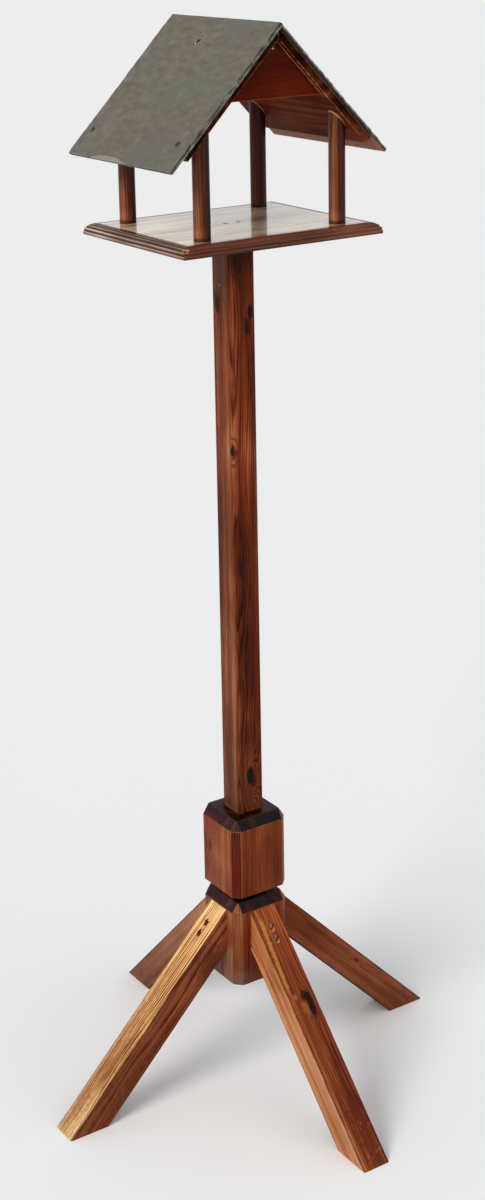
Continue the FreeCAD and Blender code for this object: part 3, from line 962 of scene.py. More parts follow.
@dataclass
class Screw:
    """A countersunk screw with a cross recess.

    Attributes:
        head: The head's diameter.
        shank: The shank's diameter.
        length: The whole length.
        edge: Height of the head's edge.
        point: The point's share of the shank's width.
        recess: Half the length, half the width and the depth of the cross, in heads.
        sides: Number of sides of its round parts.
    """

    head: float
    shank: float
    length: float
    edge: float = 0.0004
    point: float = 0.15
    recess: Triple = (0.31, 0.075, 0.22)
    sides: int = 20

    def model(self, name: str) -> Piece:
        """Models the screw along -Z, with the top of its head at the origin.

        Args:
            name: The screw's name.

        Returns:
            The screw.
        """
        deselect()
        bpy.ops.mesh.primitive_cylinder_add(vertices=self.sides, radius=self.head / 2,
                                            depth=self.edge, location=(0, 0, -self.edge / 2))
        screw = name_new(name)
        neck = (self.head - self.shank) / 2
        for drop, shrink in ((neck, self.shank / self.head),
                             (self.length - neck - self.shank, 1.0), (self.shank, self.point)):
            floor = min(corner.co.z for corner in screw.data.vertices)
            edit(screw, "FACE", lambda face: face.calc_center_median().z < floor + TINY,
                 lambda: raise_faces(-drop),
                 lambda: bpy.ops.transform.resize(value=(shrink, shrink, 1.0)))
        long, narrow, deep = (self.head * share for share in self.recess)
        for wide, high in ((long, narrow), (narrow, long)):
            cut(screw, (-wide, -high, -deep), (wide, high, deep))
        smooth_faces(screw, 40.0)
        return screw

    def set_out(self, name: str, places: Iterable[Matrix], steel: Material) -> Piece:
        """Copies the screw to its places and joins the copies.

        Args:
            name: The group's name.
            places: Where the screws go.
            steel: Their material.

        Returns:
            The group, as one piece.
        """
        pattern = self.model(name)
        copies = []
        for place in places:
            copy = pattern.copy()
            copy.data = pattern.data.copy()
            copy.data.transform(place)
            bpy.context.scene.collection.objects.link(copy)
            copies.append(copy)
        bpy.data.objects.remove(pattern)
        activate(copies[0])
        for copy in copies:
            copy.select_set(True)
        bpy.ops.object.join()
        group = bpy.context.active_object
        group.name = name
        wear(group, steel)
        return group


@dataclass
class Block:
    """A square block with cut corners, a bevelled top and a square hole.

    Attributes:
        side: Its width.
        corner_cut: How far its upright edges are cut back.
        bevel_run: How far the bevelled top draws in.
        bevel_rise: Height of the bevel.
        arris: Rounding of its edges.
    """

    side: float = 0.100
    corner_cut: float = 0.012
    bevel_run: float = 0.010
    bevel_rise: float = 0.015
    arris: float = 0.0009

    def side_tones_and_light(self, left: SideToneAndLight, *facets: SideToneAndLight) -> tuple[SideToneAndLight, ...]:
        """The sides of a block: its own ones, three bevels with a painted plum reflection of the
        sky, and the dark end grain of the front bevel and the top.
        """
        plum = (SideToneAndLight(facing, BEVEL_SKY_REFLECTION, 1.0, 0.97)
                for facing in ((-0.83, 0, 0.55), (0.83, 0, 0.55), (0, 0.83, 0.55)))
        return (left, *facets, *plum, SideToneAndLight((0, -0.83, 0.55), BEVEL_DARK, 1.0, 0.97),
                SideToneAndLight((0, 0, 1), BEVEL_DARK, 1.0, 0.9))

    def model(self, node: str, wood: StainedWood, sawing: Sawing, hole: float,
              depth: float | None) -> Piece:
        """Models a block.

        Args:
            node: The piece of the frame whose place it takes.
            wood: Its finish.
            sawing: How its timber was sawn.
            hole: Width of the hole.
            depth: Depth of the hole, or None for one that goes through.

        Returns:
            The block.
        """
        low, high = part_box(node)
        shoulder = high.z - self.bevel_rise
        block = add_box(node + "_timber", low, (high.x, high.y, shoulder))
        edit(block, "EDGE", runs_along(2), lambda: bpy.ops.mesh.bevel(
            offset=self.corner_cut, offset_type="OFFSET", segments=1))
        edit(block, "FACE", lambda face: face.calc_center_median().z > shoulder - TINY,
             lambda: raise_faces(self.bevel_rise))
        self.draw_in(block, high.z)
        half, floor = hole / 2, low.z - self.arris if depth is None else high.z - depth
        cut(block, (-half, -half, floor), (half, half, high.z + self.arris))
        # The rounded arrises get lighter tones, which paint highlights along them; on the bevel
        # and the top they are darkened like the end grain there.
        worn = replace(wood, tones=ARRIS_HIGHLIGHT, side_tones_and_light=(), contrast=0.6, brightness_by_height=(
            (low.z, 1.0), (shoulder - 0.001, 1.0), (shoulder + 0.002, 0.25), (high.z, 0.2)))
        wear(block, wood.dress(node, sawing), worn.dress(node + "_arris", sawing))
        soften(block, self.arris)
        smooth_faces(block)
        return block

    def draw_in(self, block: Piece, level: float) -> None:
        """Moves the corners of the top in, so that the cut corners run out there.

        Args:
            block: The block.
            level: The height of its top.
        """
        half = self.side / 2
        inner = half - self.corner_cut
        for corner in block.data.vertices:
            if abs(corner.co.z - level) < TINY:
                for axis in (0, 1):
                    outer = abs(corner.co[axis]) > inner + 10 * TINY
                    corner.co[axis] = math.copysign(half - self.bevel_run if outer else inner,
                                                    corner.co[axis])


@dataclass
class Base:
    """The base block with its four legs.

    Attributes:
        block: The block's shape.
        socket: Width of the hole for the post.
        socket_depth: Depth of that hole.
        leg_slope: The legs' fall, as an angle.
        leg_section: Half a leg's width and half its depth.
        leg_middle: Distance of a leg's middle from the post's axis, and its height.
        leg_brightness: Heights with how bright the legs are there.
        screw: A leg's screw.
    """

    block: Block = field(default_factory=Block)
    socket: float = 0.0458
    socket_depth: float = 0.100
    leg_slope: float = math.radians(45.5)
    leg_section: tuple[float, float] = (0.023, 0.024)
    leg_middle: tuple[float, float] = (0.1777, 0.130)
    # The legs are darker towards their feet and brighter towards the block.
    leg_brightness: Levels = ((0.0, 0.90), (0.06, 0.88), (0.12, 0.96), (0.30, 1.16))
    screw: Screw = field(default_factory=lambda: Screw(0.009, 0.0045, 0.04225))

    def build(self) -> None:
        """Models and dresses the block, the legs and their screws."""
        wood = StainedWood(
            BLOCK_RIGHT, contrast=0.55, banding=0.6, coat=0.1, coat_roughness=0.25,
            # The reddish spot on the left face beside the legs is painted shade, tinted by light
            # reflected off the legs.
            stains=(Stain((-0.05, -0.03, 0.255), (0.02, 0.02, 0.035), "7c2c10", 0.6, 0.8),
                    Stain((-0.04, -0.04, 0.178), (0.04, 0.04, 0.030), "8c685c", 0.55, 0.8)),
            # The left face and the corner bevel get lighter tones, which paint light from the
            # left.
            side_tones_and_light=self.block.side_tones_and_light(
                SideToneAndLight((-1, 0, 0), BASE_LIT_LEFT, 1.0, 0.96),
                SideToneAndLight((-0.71, -0.71, 0), BASE_FACET, 0.85, 0.97),
                SideToneAndLight((-0.64, -0.64, 0.43), BLOCK_LIT_LEFT, 0.9, 0.97)))
        sawing = Sawing((0, 0, 1), (0, 0, 0.24), pith=(-0.02, 0.08), seed=3.0)
        block = self.block.model("base_block", wood, sawing, self.socket, self.socket_depth)
        hand_over(block, "base", "block_wood", "base_block")
        self.dress_legs()
        self.set_screws()

    def dress_legs(self) -> None:
        """Gives each leg its own timber."""
        # Each leg: its direction, its flanks' tones, its upper face's tones, contrast, banding and
        # ring width. The lighter upper faces of the left and front legs are painted sunlight.
        timbers = {
            "left": (-1, 0, LEG_SIDE, LEG_SUNLIT_TOP, 1.0, 0.75, 0.0040),
            "front": (0, -1, LEG_PINK, LEG_AMBER, 0.6, 0.9, 0.0050),
            "right": (1, 0, LEG_RIGHT, LEG_RIGHT, 0.35, 0.7, 0.0034),
            "back": (0, 1, LEG_BACK, LEG_BACK, 0.4, 0.7, 0.0034),
        }
        knots = {
            "front": (Knot((0.0100, -0.1570, 0.1850), 0.0056, 0.95),
                      Knot((0.0080, -0.1680, 0.1740), 0.0042, 0.9)),
            "right": (Knot((0.2018, -0.023, 0.1203), 0.003, 0.7),),
        }
        marks = {
            "front": self.front_leg_marks() + tuple(
                Stain((0.012, -0.3390 + 0.982 * height, height), (0.031, 0.034, 0.034),
                      "5a1c08", 0.7, 0.6) for height in (0.0, 0.030, 0.060)),
            # The dark streak along the upper edge of the left leg's flank is a painted shadow.
            "left": (Stain((-0.085, -0.023, 0.215), (0.055, 0.006, 0.060), "4c1a0a", 0.7, 0.95),
                     Stain((-0.25, 0.046, 0.080), (0.28, 0.082, 0.28), "8a3c14", 0.55, 0.8),
                     Stain((-0.28, -0.070, 0.040), (0.18, 0.100, 0.18), "b8683e", 0.32, 0.95)),
            "right": (Stain((0.31, 0, 0.0), (0.09, 0.06, 0.09), "4a2414", 0.45, 0.9),),
            "back": (Stain((0, 0.31, 0.0), (0.06, 0.09, 0.09), "3c2014", 0.45, 0.9),),
        }
        run, fall = math.cos(self.leg_slope), math.sin(self.leg_slope)
        reach, level = self.leg_middle
        for number, (side, timber) in enumerate(timbers.items()):
            x, y, flank, top, contrast, banding, ring = timber
            upward = (x * fall, y * fall, run)
            wood = StainedWood(flank, contrast=contrast, banding=banding, blush_share=0.12,
                               roughness=0.46, coat=0.06, coat_roughness=0.35,
                               brightness_by_height=self.leg_brightness,
                               stains=self.shade_bores(x, y) + marks[side],
                               side_tones_and_light=(SideToneAndLight(upward, top),))
            sawing = Sawing((x * run, y * run, -fall), (x * reach, y * reach, level), upward,
                            (0.075 - 0.02 * number, 0.03), self.leg_section, ring, 0.005,
                            11.0 + 7 * number, knots.get(side, ()))
            dress_node("leg_" + side, wood.dress("leg_" + side, sawing))

    def bores(self) -> tuple[tuple[float, float], ...]:
        """Where a leg's screws are.

        Returns:
            The level and the distance from the post's axis of the lower and the upper one.
        """
        low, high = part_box("leg_screws")
        lower, upper = low.z + self.screw.head / 2, high.z - self.screw.head / 2
        return (lower, high.x), (upper, high.x - (upper - lower) / math.tan(self.leg_slope))

    def shade_bores(self, x: float, y: float) -> tuple[Stain, ...]:
        """Painted shade in and round the two screw bores of the leg that points along (x, y)."""
        return tuple(Stain((x * (reach + 0.002), y * (reach + 0.002), level),
                           (0.007, 0.007, 0.0055), "100502", 0.95, 0.5)
                     for level, reach in reversed(self.bores()))

    def front_leg_marks(self) -> tuple[Stain, ...]:
        """The pale strip and the dark ring round the knots of the front leg."""
        strip = (Stain((-0.0128 - 0.0051 * share, -0.0668 - 0.0676 * share,
                        0.2769 - 0.0688 * share), (0.0058, 0.016, 0.016), "cc8640", 0.6, 0.8)
                 for share in (0.0, 0.17, 0.34, 0.5, 0.67, 0.84, 1.0))
        return (*strip,
                Stain((0.0065, -0.160, 0.182), (0.017, 0.026, 0.026), "6e3212", 0.7, 0.8),
                Stain((-0.0020, -0.164, 0.178), (0.009, 0.018, 0.018), "a8602c", 0.6, 0.8),
                Stain((-0.0115, -0.150, 0.192), (0.005, 0.007, 0.007), "c08a60", 0.4, 0.8),
                Stain((0.0050, -0.152, 0.190), (0.011, 0.013, 0.013), "220a04", 0.95, 0.8),
                Stain((0.0100, -0.164, 0.178), (0.007, 0.026, 0.026), "1a0703", 0.95, 0.7))

    def set_screws(self) -> None:
        """Sets two screws into the head of each leg."""
        level_out = Matrix.Rotation(math.pi / 2, 4, "Y")
        places = [Matrix.Rotation(math.pi / 2 * quarter, 4, "Z")
                  @ Matrix.Translation((reach, 0, level)) @ level_out
                  for quarter in range(4) for level, reach in self.bores()]
        # The near-white, barely metallic plating paints the screws' glint.
        steel = PlatedSteel("fbe6dc", "9a7466", 0.15).dress("leg_screws")
        group = self.screw.set_out("leg_screw_set", places, steel)
        hand_over(group, "base", "screw_steel", "leg_screws")


@dataclass
class Column:
    """The main post with its collar block.

    Attributes:
        block: The collar block's shape.
        post_side: Width of the post.
    """

    block: Block = field(default_factory=Block)
    post_side: float = 0.045

    def build(self) -> None:
        """Models the collar block and dresses the post."""
        wood = StainedWood(
            BLOCK_RIGHT, contrast=0.5, banding=0.5, coat=0.1, coat_roughness=0.25,
            stains=(Stain((0.012, -0.05, 0.405), (0.012, 0.02, 0.026), "5c2812", 0.6, 0.9),
                    Stain((0.046, -0.05, 0.400), (0.004, 0.02, 0.005), "3a140a", 0.7, 0.8),
                    Stain((-0.05, 0.02, 0.425), (0.02, 0.03, 0.02), "7a2a12", 0.5, 0.8),
                    Stain((-0.05, -0.005, 0.375), (0.02, 0.03, 0.025), "b46f42", 0.4, 0.8)),
            # The left face gets lighter tones, which paint light from the left, and the corner
            # bevel a painted plum reflection of the sky.
            side_tones_and_light=self.block.side_tones_and_light(
                SideToneAndLight((-1, 0, 0), BLOCK_LIT_LEFT, 1.0, 0.96),
                SideToneAndLight((-0.71, -0.71, 0), BLOCK_FACET, 1.0, 0.97),
                SideToneAndLight((-0.64, -0.64, 0.43), BEVEL_SKY_REFLECTION, 1.0, 0.97)))
        sawing = Sawing((0, 0, 1), (0, 0, 0.38), pith=(0.055, 0.03), seed=5.0,
                        knots=(Knot((-0.050, 0.0205, 0.3875), 0.0050, 0.7),))
        collar = self.block.model("collar_block", wood, sawing, self.post_side, None)
        hand_over(collar, "column", "block_wood", "collar_block")
        self.dress_post()

    def dress_post(self) -> None:
        """Gives the post its timber, with its knots and stains."""
        front = left = -self.post_side / 2
        knots = (Knot((0.0134, front, 1.2334), 0.0048, 0.95), Knot((left, 0.0080, 1.2434), 0.0056),
                 Knot((left, front, 1.0295), 0.0044, 0.95),
                 Knot((-0.0005, front, 0.5085), 0.0066, 0.97, 4.0),
                 Knot((0.0048, front, 0.4985), 0.0048, 0.8))
        stains = (Stain((0.0077, front, 1.2133), (0.008, 0.01, 0.022), "220a04", 0.9, 0.7),
                  Stain((left, 0.0092, 1.2500), (0.01, 0.011, 0.022), "2a1008", 0.8, 0.7),
                  # Partly stain and partly painted shadow: the dark front of the post just under
                  # the tray.
                  Stain((-0.010, front, 1.320), (0.020, 0.006, 0.060), "180904", 0.9, 0.95),
                  Stain((0.018, front, 1.330), (0.02, 0.006, 0.05), "260e07", 0.85, 0.95),
                  Stain((-0.016, front, 1.026), (0.007, 0.008, 0.014), "2e1209", 0.7, 0.9),
                  Stain((left, 0.0, 1.310), (0.006, 0.024, 0.05), "6a5040", 0.7, 0.7),
                  Stain((left, 0.0029, 1.2735), (0.01, 0.0025, 0.003), "c08a64", 0.8, 0.6),
                  Stain((-0.016, front, 1.145), (0.005, 0.006, 0.060), "4e2812", 0.7, 0.8),
                  Stain((0.002, front, 1.150), (0.006, 0.006, 0.090), "96441e", 0.45, 0.8),
                  Stain((0.018, front, 1.0), (0.005, 0.006, 0.30), "5a2f2c", 0.5, 0.8),
                  Stain((left, 0.012, 1.10), (0.006, 0.005, 0.11), "a8674a", 0.5, 0.8),
                  # A painted highlight: the thin light line at the foot of the post's left face.
                  Stain((left, 0.0, 0.452), (0.01, 0.024, 0.004), "a06a44", 0.7, 0.7))
        wood = StainedWood(
            POST_FRONT, contrast=0.62, banding=0.85, roughness=0.4, coat=0.05,
            coat_roughness=0.22, stains=stains,
            brightness_by_height=((0.20, 0.4), (0.46, 0.45), (0.60, 0.74), (0.90, 0.82), (1.00, 1.02),
                     (1.22, 1.14), (1.35, 1.2)),
            # The left face gets lighter tones: painted light from the left.
            side_tones_and_light=(SideToneAndLight((-1, 0, 0), POST_LIT_LEFT, 0.95),))
        sawing = Sawing((0, 0, 1), (0, 0, 0.8), pith=(0.03, 0.06), ring=0.003, waver=0.012,
                        seed=17.0, knots=knots)
        dress_node("main_post", wood.dress("main_post", sawing))


@dataclass
class Tray:
    """The tray with its reeded moulding.

    Attributes:
        length: Length of the board along X.
        width: Width of the board along Y.
        level: Height of the board's underside.
        thickness: Thickness of the board.
        flat: Width of the moulding's flat top.
        swell: Width of its reeded quarter.
        quirk: Depth of the step between them.
        reeds: Number of reeds.
        corner: The moulding's corner nearest the front, which is worn.
        post_at: Distances of a roof post's axis from the middle.
        tray_screw: The screw from the tray into the post.
        roof_post_screw: The screw from below the tray into a roof post.
    """

    length: float = 0.300
    width: float = 0.238
    level: float = 1.346
    thickness: float = 0.016
    flat: float = 0.006
    swell: float = 0.0108
    quirk: float = 0.0012
    reeds: int = 4
    corner: Triple = (-0.1620, -0.1325, 1.3585)
    post_at: tuple[float, float] = (0.114, 0.0985)
    tray_screw: Screw = field(default_factory=lambda: Screw(0.008, 0.004, 0.050))
    roof_post_screw: Screw = field(default_factory=lambda: Screw(0.008, 0.004, 0.045))

    def build(self) -> None:
        """Dresses the board, the moulding and the screws."""
        board = StainedWood(
            UNDERSIDE, blush="8d6a56", blush_share=0.12, contrast=0.5, roughness=0.34,
            specular=0.3, coat=1.0, coat_roughness=0.1, relief=0.00005,
            # The top face gets near-white tones: a painted sky reflection in its varnish.
            side_tones_and_light=(SideToneAndLight((0, 0, 1), TRAY_TOP_SKY_REFLECTION),))
        sawing = Sawing((1, 0, 0), (0, 0, self.level), (0, 0, 1), (0.02, -0.45),
                        ring=0.006, waver=0.02, seed=23.0)
        dress_node("tray_board", board.dress("tray_board", sawing, self.shade_and_grime_post_feet))
        self.dress_moulding()
        self.set_screws()

    def shade_and_grime_post_feet(self, graph: Graph, place: Socket) -> None:
        """Paints contact shade and grime in a ring round the feet of the roof posts.

        Args:
            graph: The material's nodes.
            place: The piece's own coordinates.
        """
        mirrored = graph.vector("ABSOLUTE", graph.vector("MULTIPLY", place, (1, 1, 0)))
        gap = graph.vector("DISTANCE", mirrored, (*self.post_at, 0.0))
        graph.tint(graph.smooth(gap, 0.0122, 0.0150, 0.95, 0.0), FOOT_SHADE_AND_GRIME)

    def groove(self, graph: Graph, place: Socket, outward: Vector, half: float) -> Socket:
        """Marks the grooves between the reeds of one strip.

        Args:
            graph: The material's nodes.
            place: The piece's own coordinates.
            outward: The direction that the strip faces.
            half: Half the board's size in that direction.

        Returns:
            1 in a groove and 0 on a crest.
        """
        out = graph.less(graph.vector("DOT_PRODUCT", place, outward), half + self.flat)
        level = graph.less(graph.part(place, "Z"), self.level)
        angle = graph.math("ARCTAN2", graph.math("DIVIDE", out, self.swell),
                           graph.math("DIVIDE", level, self.thickness - self.quirk))
        turns = graph.math("DIVIDE", angle, math.pi / 2 / self.reeds)
        inside = graph.math("ABSOLUTE", graph.less(graph.math("FRACT", turns), 0.5))
        beyond = graph.math("GREATER_THAN", out, -0.0002)
        return graph.times(graph.smooth(inside, 0.1, 0.36), beyond)

    def dress_moulding(self) -> None:
        """Gives each strip of moulding its timber, with painted shade in the grooves and painted
        light on the left strip.
        """
        wood = StainedWood(MOULDING_FRONT, contrast=0.3, roughness=0.34, coat=0.3,
                           coat_roughness=0.18, relief=0.0001,
                           side_tones_and_light=(SideToneAndLight((-0.85, 0, 0.5), MOULDING_LIT_LEFT, 1.0, 0.7),))
        sides = {"left": (-1, 0, 0), "right": (1, 0, 0), "front": (0, -1, 0), "back": (0, 1, 0)}
        for number, (side, facing) in enumerate(sides.items()):
            outward = Vector(facing)
            half = (self.length if outward.x else self.width) / 2
            # How strongly the painted groove shade shows: strongly on the left and right strips.
            depth = 0.97 if outward.x else 0.28

            def mark(graph: Graph, place: Socket) -> None:
                """Paints shade in the grooves and wears the corner nearest the front."""
                groove = self.groove(graph, place, outward, half)
                graph.tint(graph.times(groove, depth), GROOVE_SHADE)
                gap = graph.ragged(graph.vector("DISTANCE", place, self.corner), place,
                                   CORNER_EDGE, 0.016, 2.0)
                graph.tint(graph.smooth(gap, 0.0020, 0.0040, 0.85, 0.0), WORN_CORNER)

            along = (0, 1, 0) if outward.x else (1, 0, 0)
            sawing = Sawing(along, tuple(outward * half), (0, 0, 1), (0.03, -0.2),
                            ring=0.004, waver=0.008, seed=31.0 + 5 * number)
            dress_node("tray_edge_" + side, wood.dress("tray_edge_" + side, sawing, mark))

    def set_screws(self) -> None:
        """Sets the screws of the post from above and of the roof posts from below."""
        steel, flip = PlatedSteel().dress("tray_screws"), Matrix.Rotation(math.pi, 4, "X")
        top, half = self.level + self.thickness, self.post_at[1]
        rows = (("tray_screw", self.tray_screw, top, Matrix.Identity(4), (0.0,)),
                ("roof_post_screw", self.roof_post_screw, self.level, flip, (-half, half)))
        for stem, screw, level, turn, across in rows:
            low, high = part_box(stem + "s")
            inset = screw.head / 2
            spots = [Matrix.Translation((x, y, level)) @ turn
                     for x in (low.x + inset, high.x - inset) for y in across]
            group = screw.set_out(stem + "_set", spots, steel)
            hand_over(group, "column", "screw_steel", stem + "s")


@dataclass(frozen=True)
class Chipping:
    """How one edge of a slate is broken.

    Attributes:
        least: The least width of the broken arris.
        mean: The mean width.
        waver: How far the width wavers.
        bite: How much a deep bite adds.
        way: The direction into the slate.
    """

    least: float
    mean: float
    waver: float
    bite: float
    way: Triple


CHIPPING = {
    Edge.FRONT: Chipping(0.0009, 0.0021, 0.0019, 0.0040, (0, 1, 0)),
    Edge.BACK: Chipping(0.00060, 0.000975, 0.00090, 0.00120, (0, -1, 0)),
    Edge.EAVE: Chipping(0.00060, 0.000975, 0.00090, 0.00120, (-1, 0, 0)),
    Edge.HEAD: Chipping(0.00032, 0.000520, 0.00048, 0.00064, (1, 0, 0)),
}


@dataclass
class Slate:
    """One roof slate, split and chipped.

    Attributes:
        side: The slope that it lies on.
        placement: The step from its flat frame, with X down the slope, to the row frame.
        head: Distance of its upper end from the ridge.
        craters: Broken places on its face.
        flaked: Whether a layer has split off along its eave.
        slope: Its length down the slope.
        length: Its length along the ridge.
        thickness: Its thickness.
        flake: Where the flake at the eave starts and ends, along the ridge.
        flake_depth: The flake's greatest reach up the slope and its thickness.
        rim: Width of the finer mesh at its edges.
        rim_cells: Number of cells over that width.
        cell: Size of the other cells.
        corners: Rounding of the outline's back corners, at the ridge and at the eave.
        chip: Depth over which a broken arris takes its colour.
    """

    side: Side
    placement: Matrix
    head: float
    craters: tuple[Crater, ...]
    flaked: bool
    slope: float = 0.260
    length: float = 0.276
    thickness: float = 0.0055
    flake: tuple[float, float] = (-0.018, 0.082)
    flake_depth: tuple[float, float] = (0.009, 0.0023)
    rim: float = 0.012
    rim_cells: int = 13
    cell: float = 0.0022
    corners: tuple[float, float] = (0.006, 0.004)
    chip: float = 0.0006

    def cells(self, span: float) -> int:
        """How many cells a span gets, an even number."""
        return 2 * (self.rim_cells + round((span / 2 - self.rim) / self.cell))

    def spread(self, share: float, span: float) -> float:
        """Moves an even share of a span so that the cells are finer at both ends.

        Args:
            share: The even share, 0 to 1.
            span: The span.

        Returns:
            The distance from the span's start.
        """
        count, fine = self.cells(span), self.rim / self.rim_cells
        index = round(share * count)
        if index <= self.rim_cells:
            return index * fine
        if index >= count - self.rim_cells:
            return span - (count - index) * fine
        coarse = (span - 2 * self.rim) / (count - 2 * self.rim_cells)
        return self.rim + (index - self.rim_cells) * coarse

    def salt(self) -> float:
        """A shift that makes the two slates unlike."""
        return 5.3 * (self.side.value + 2)

    def broken_back(self, along: float, edge: Edge) -> float:
        """How far the upper arris is broken back.

        Args:
            along: The place along the edge.
            edge: The edge.

        Returns:
            The width of the broken arris.
        """
        spot = Vector((along * 95, edge.value * 7.7 + self.salt(), 0.0))
        chip, bite = CHIPPING[edge], max(0.0, noise.noise(spot * 0.37) - 0.15)
        return max(chip.least, chip.mean + chip.waver * noise.fractal(spot, 1.0, 2.0, 4)
                   + chip.bite * bite)

    def relief(self, run: float, along: float) -> float:
        """Depth of the split face below its highest plane.

        Args:
            run: Distance down the slope.
            along: Distance from the middle towards the back.

        Returns:
            The depth.
        """
        spot = Vector((run * 16, along * 13, self.salt()))
        swell = 0.5 + 0.5 * noise.fractal(spot, 0.9, 2.0, 3)
        layer = noise.fractal(spot * 2.1 + Vector((9, 4, 2)), 1.0, 2.0, 5)
        step = 1 / (1 + math.exp(-26 * (layer - 0.22)))
        grain = noise.fractal(Vector((run * 150, along * 130, self.salt())), 0.8, 2.0, 4)
        depth = 0.00035 * swell + 0.00022 * step + 0.00010 * (1 + grain)
        for crater in self.craters:
            gap = math.hypot(run - crater.run, along - crater.along)
            gap *= 1 + 0.25 * noise.noise(Vector((run * 180, along * 180, 3.0)))
            if gap < crater.radius:
                share = 1 - gap / crater.radius
                ring = 0.25 * math.cos(share * 4 * math.tau)
                depth += crater.depth * min(1.0, share * 1.6) * (0.75 + ring)
        return max(depth, 0.0)

    def flake_share(self, run: float, along: float) -> float:
        """How far a place lies on the layer under the flake at the eave.

        Args:
            run: Distance down the slope.
            along: Distance from the middle towards the back.

        Returns:
            1 under the flake and 0 beside it.
        """
        start, end = self.flake
        if not self.flaked or not start < along < end:
            return 0.0
        bow = math.sin(math.pi * (along - start) / (end - start)) ** 0.6
        line = self.slope - self.flake_depth[0] * bow
        line += 0.0012 * noise.fractal(Vector((along * 60, 2.2, 8.1)), 1.0, 2.0, 3)
        return min(1.0, max(0.0, (run - line) / 0.0008))

    def model(self, name: str) -> Piece:
        """Models the slate from a finely divided slab.

        Args:
            name: The slate's name.

        Returns:
            The slate in its place.
        """
        half, span = self.length / 2, self.slope - self.head
        slab = add_box(name, (self.head, -half, -self.thickness), (self.slope, half, 0))
        for axis, count in ((0, self.cells(span)), (1, self.cells(self.length)), (2, 4)):
            for cuts in (1, count // 2 - 1):
                edit(slab, "EDGE", runs_along(axis),
                     lambda: bpy.ops.mesh.subdivide(number_cuts=cuts, smoothness=0.0))
        shares = []
        for corner in slab.data.vertices:
            corner.co, found = self.shaped(corner.co, span, half)
            shares.append(found)
        for label, values in zip(("rim", "lip", "broken", "pale", "below"), zip(*shares)):
            carried = slab.data.attributes.new(label, "FLOAT", "POINT")
            carried.data.foreach_set("value", values)
        lay(slab, self.placement)
        smooth_faces(slab, 32.0)
        return slab

    def shaped(self, corner: Vector, span: float, half: float
               ) -> tuple[Vector, tuple[float, ...]]:
        """Moves one corner of the even slab to the slate's surface.

        Args:
            corner: The corner in the flat frame.
            span: The slab's size down the slope.
            half: Half its size along the ridge.

        Returns:
            The new place, and how far it is rim, lower lip, broken arris, pale and
            underside.
        """
        run = self.head + self.spread((corner.x - self.head) / span, span)
        along = self.spread((corner.y + half) / self.length, self.length) - half
        sunk = -corner.z / self.thickness
        gaps = {Edge.FRONT: (along + half, run), Edge.BACK: (half - along, run),
                Edge.EAVE: (self.slope - run, along), Edge.HEAD: (run - self.head, along)}
        drops, rim, inward = {}, 0.0, Vector((0, 0, 0))
        for edge, (gap, place) in gaps.items():
            back = self.broken_back(place, edge)
            drops[edge] = max(0.0, back - gap) * 1.15
            if gap < TINY:
                rim = 1.0
                rough = noise.noise(Vector((place * 240, sunk * 3.1,
                                            edge.value * 3.0 + self.salt())))
                inward += Vector(CHIPPING[edge].way) * (
                    0.0003 + 0.0005 * abs(rough) + back * 0.25 * (1 - sunk))
        flake = self.flake_share(run, along)
        depth = max(drops.values()) + self.relief(run, along) + self.flake_depth[1] * flake
        top = -min(depth, self.thickness * 0.8)
        spot = Vector((run, along, top + (-self.thickness - top) * sunk)) + inward
        self.round_corner(spot, half, 0.0, 1, self.corners[0])
        self.round_corner(spot, half, self.slope, -1, self.corners[1])
        broken = min(1.0, drops[Edge.FRONT] / self.chip)
        pale = max(flake * 0.7, min(1.0, max(drops[Edge.BACK], drops[Edge.EAVE]) / self.chip))
        upper, below = float(sunk < 0.01), float(sunk > 0.99 and not rim)
        return spot, (rim * (1 - upper), rim * (sunk > 0.8), broken * upper, pale * upper, below)

    def round_corner(self, spot: Vector, half: float, end: float, side: int,
                     radius: float) -> None:
        """Rounds one corner of the slate's outline.

        Args:
            spot: A place on the slate, which is moved.
            half: Half the slate's size along the ridge.
            end: Where the corner lies down the slope.
            side: 1 for a corner at the back and -1 for one at the front.
            radius: The rounding.
        """
        outward = 1 if end else -1
        centre = Vector((end - outward * radius, side * (half - radius)))
        gap = spot.xy - centre
        if gap.x * outward > 0 and gap.y * side > 0 and gap.length > radius:
            spot.xy = centre + gap * (radius / gap.length)


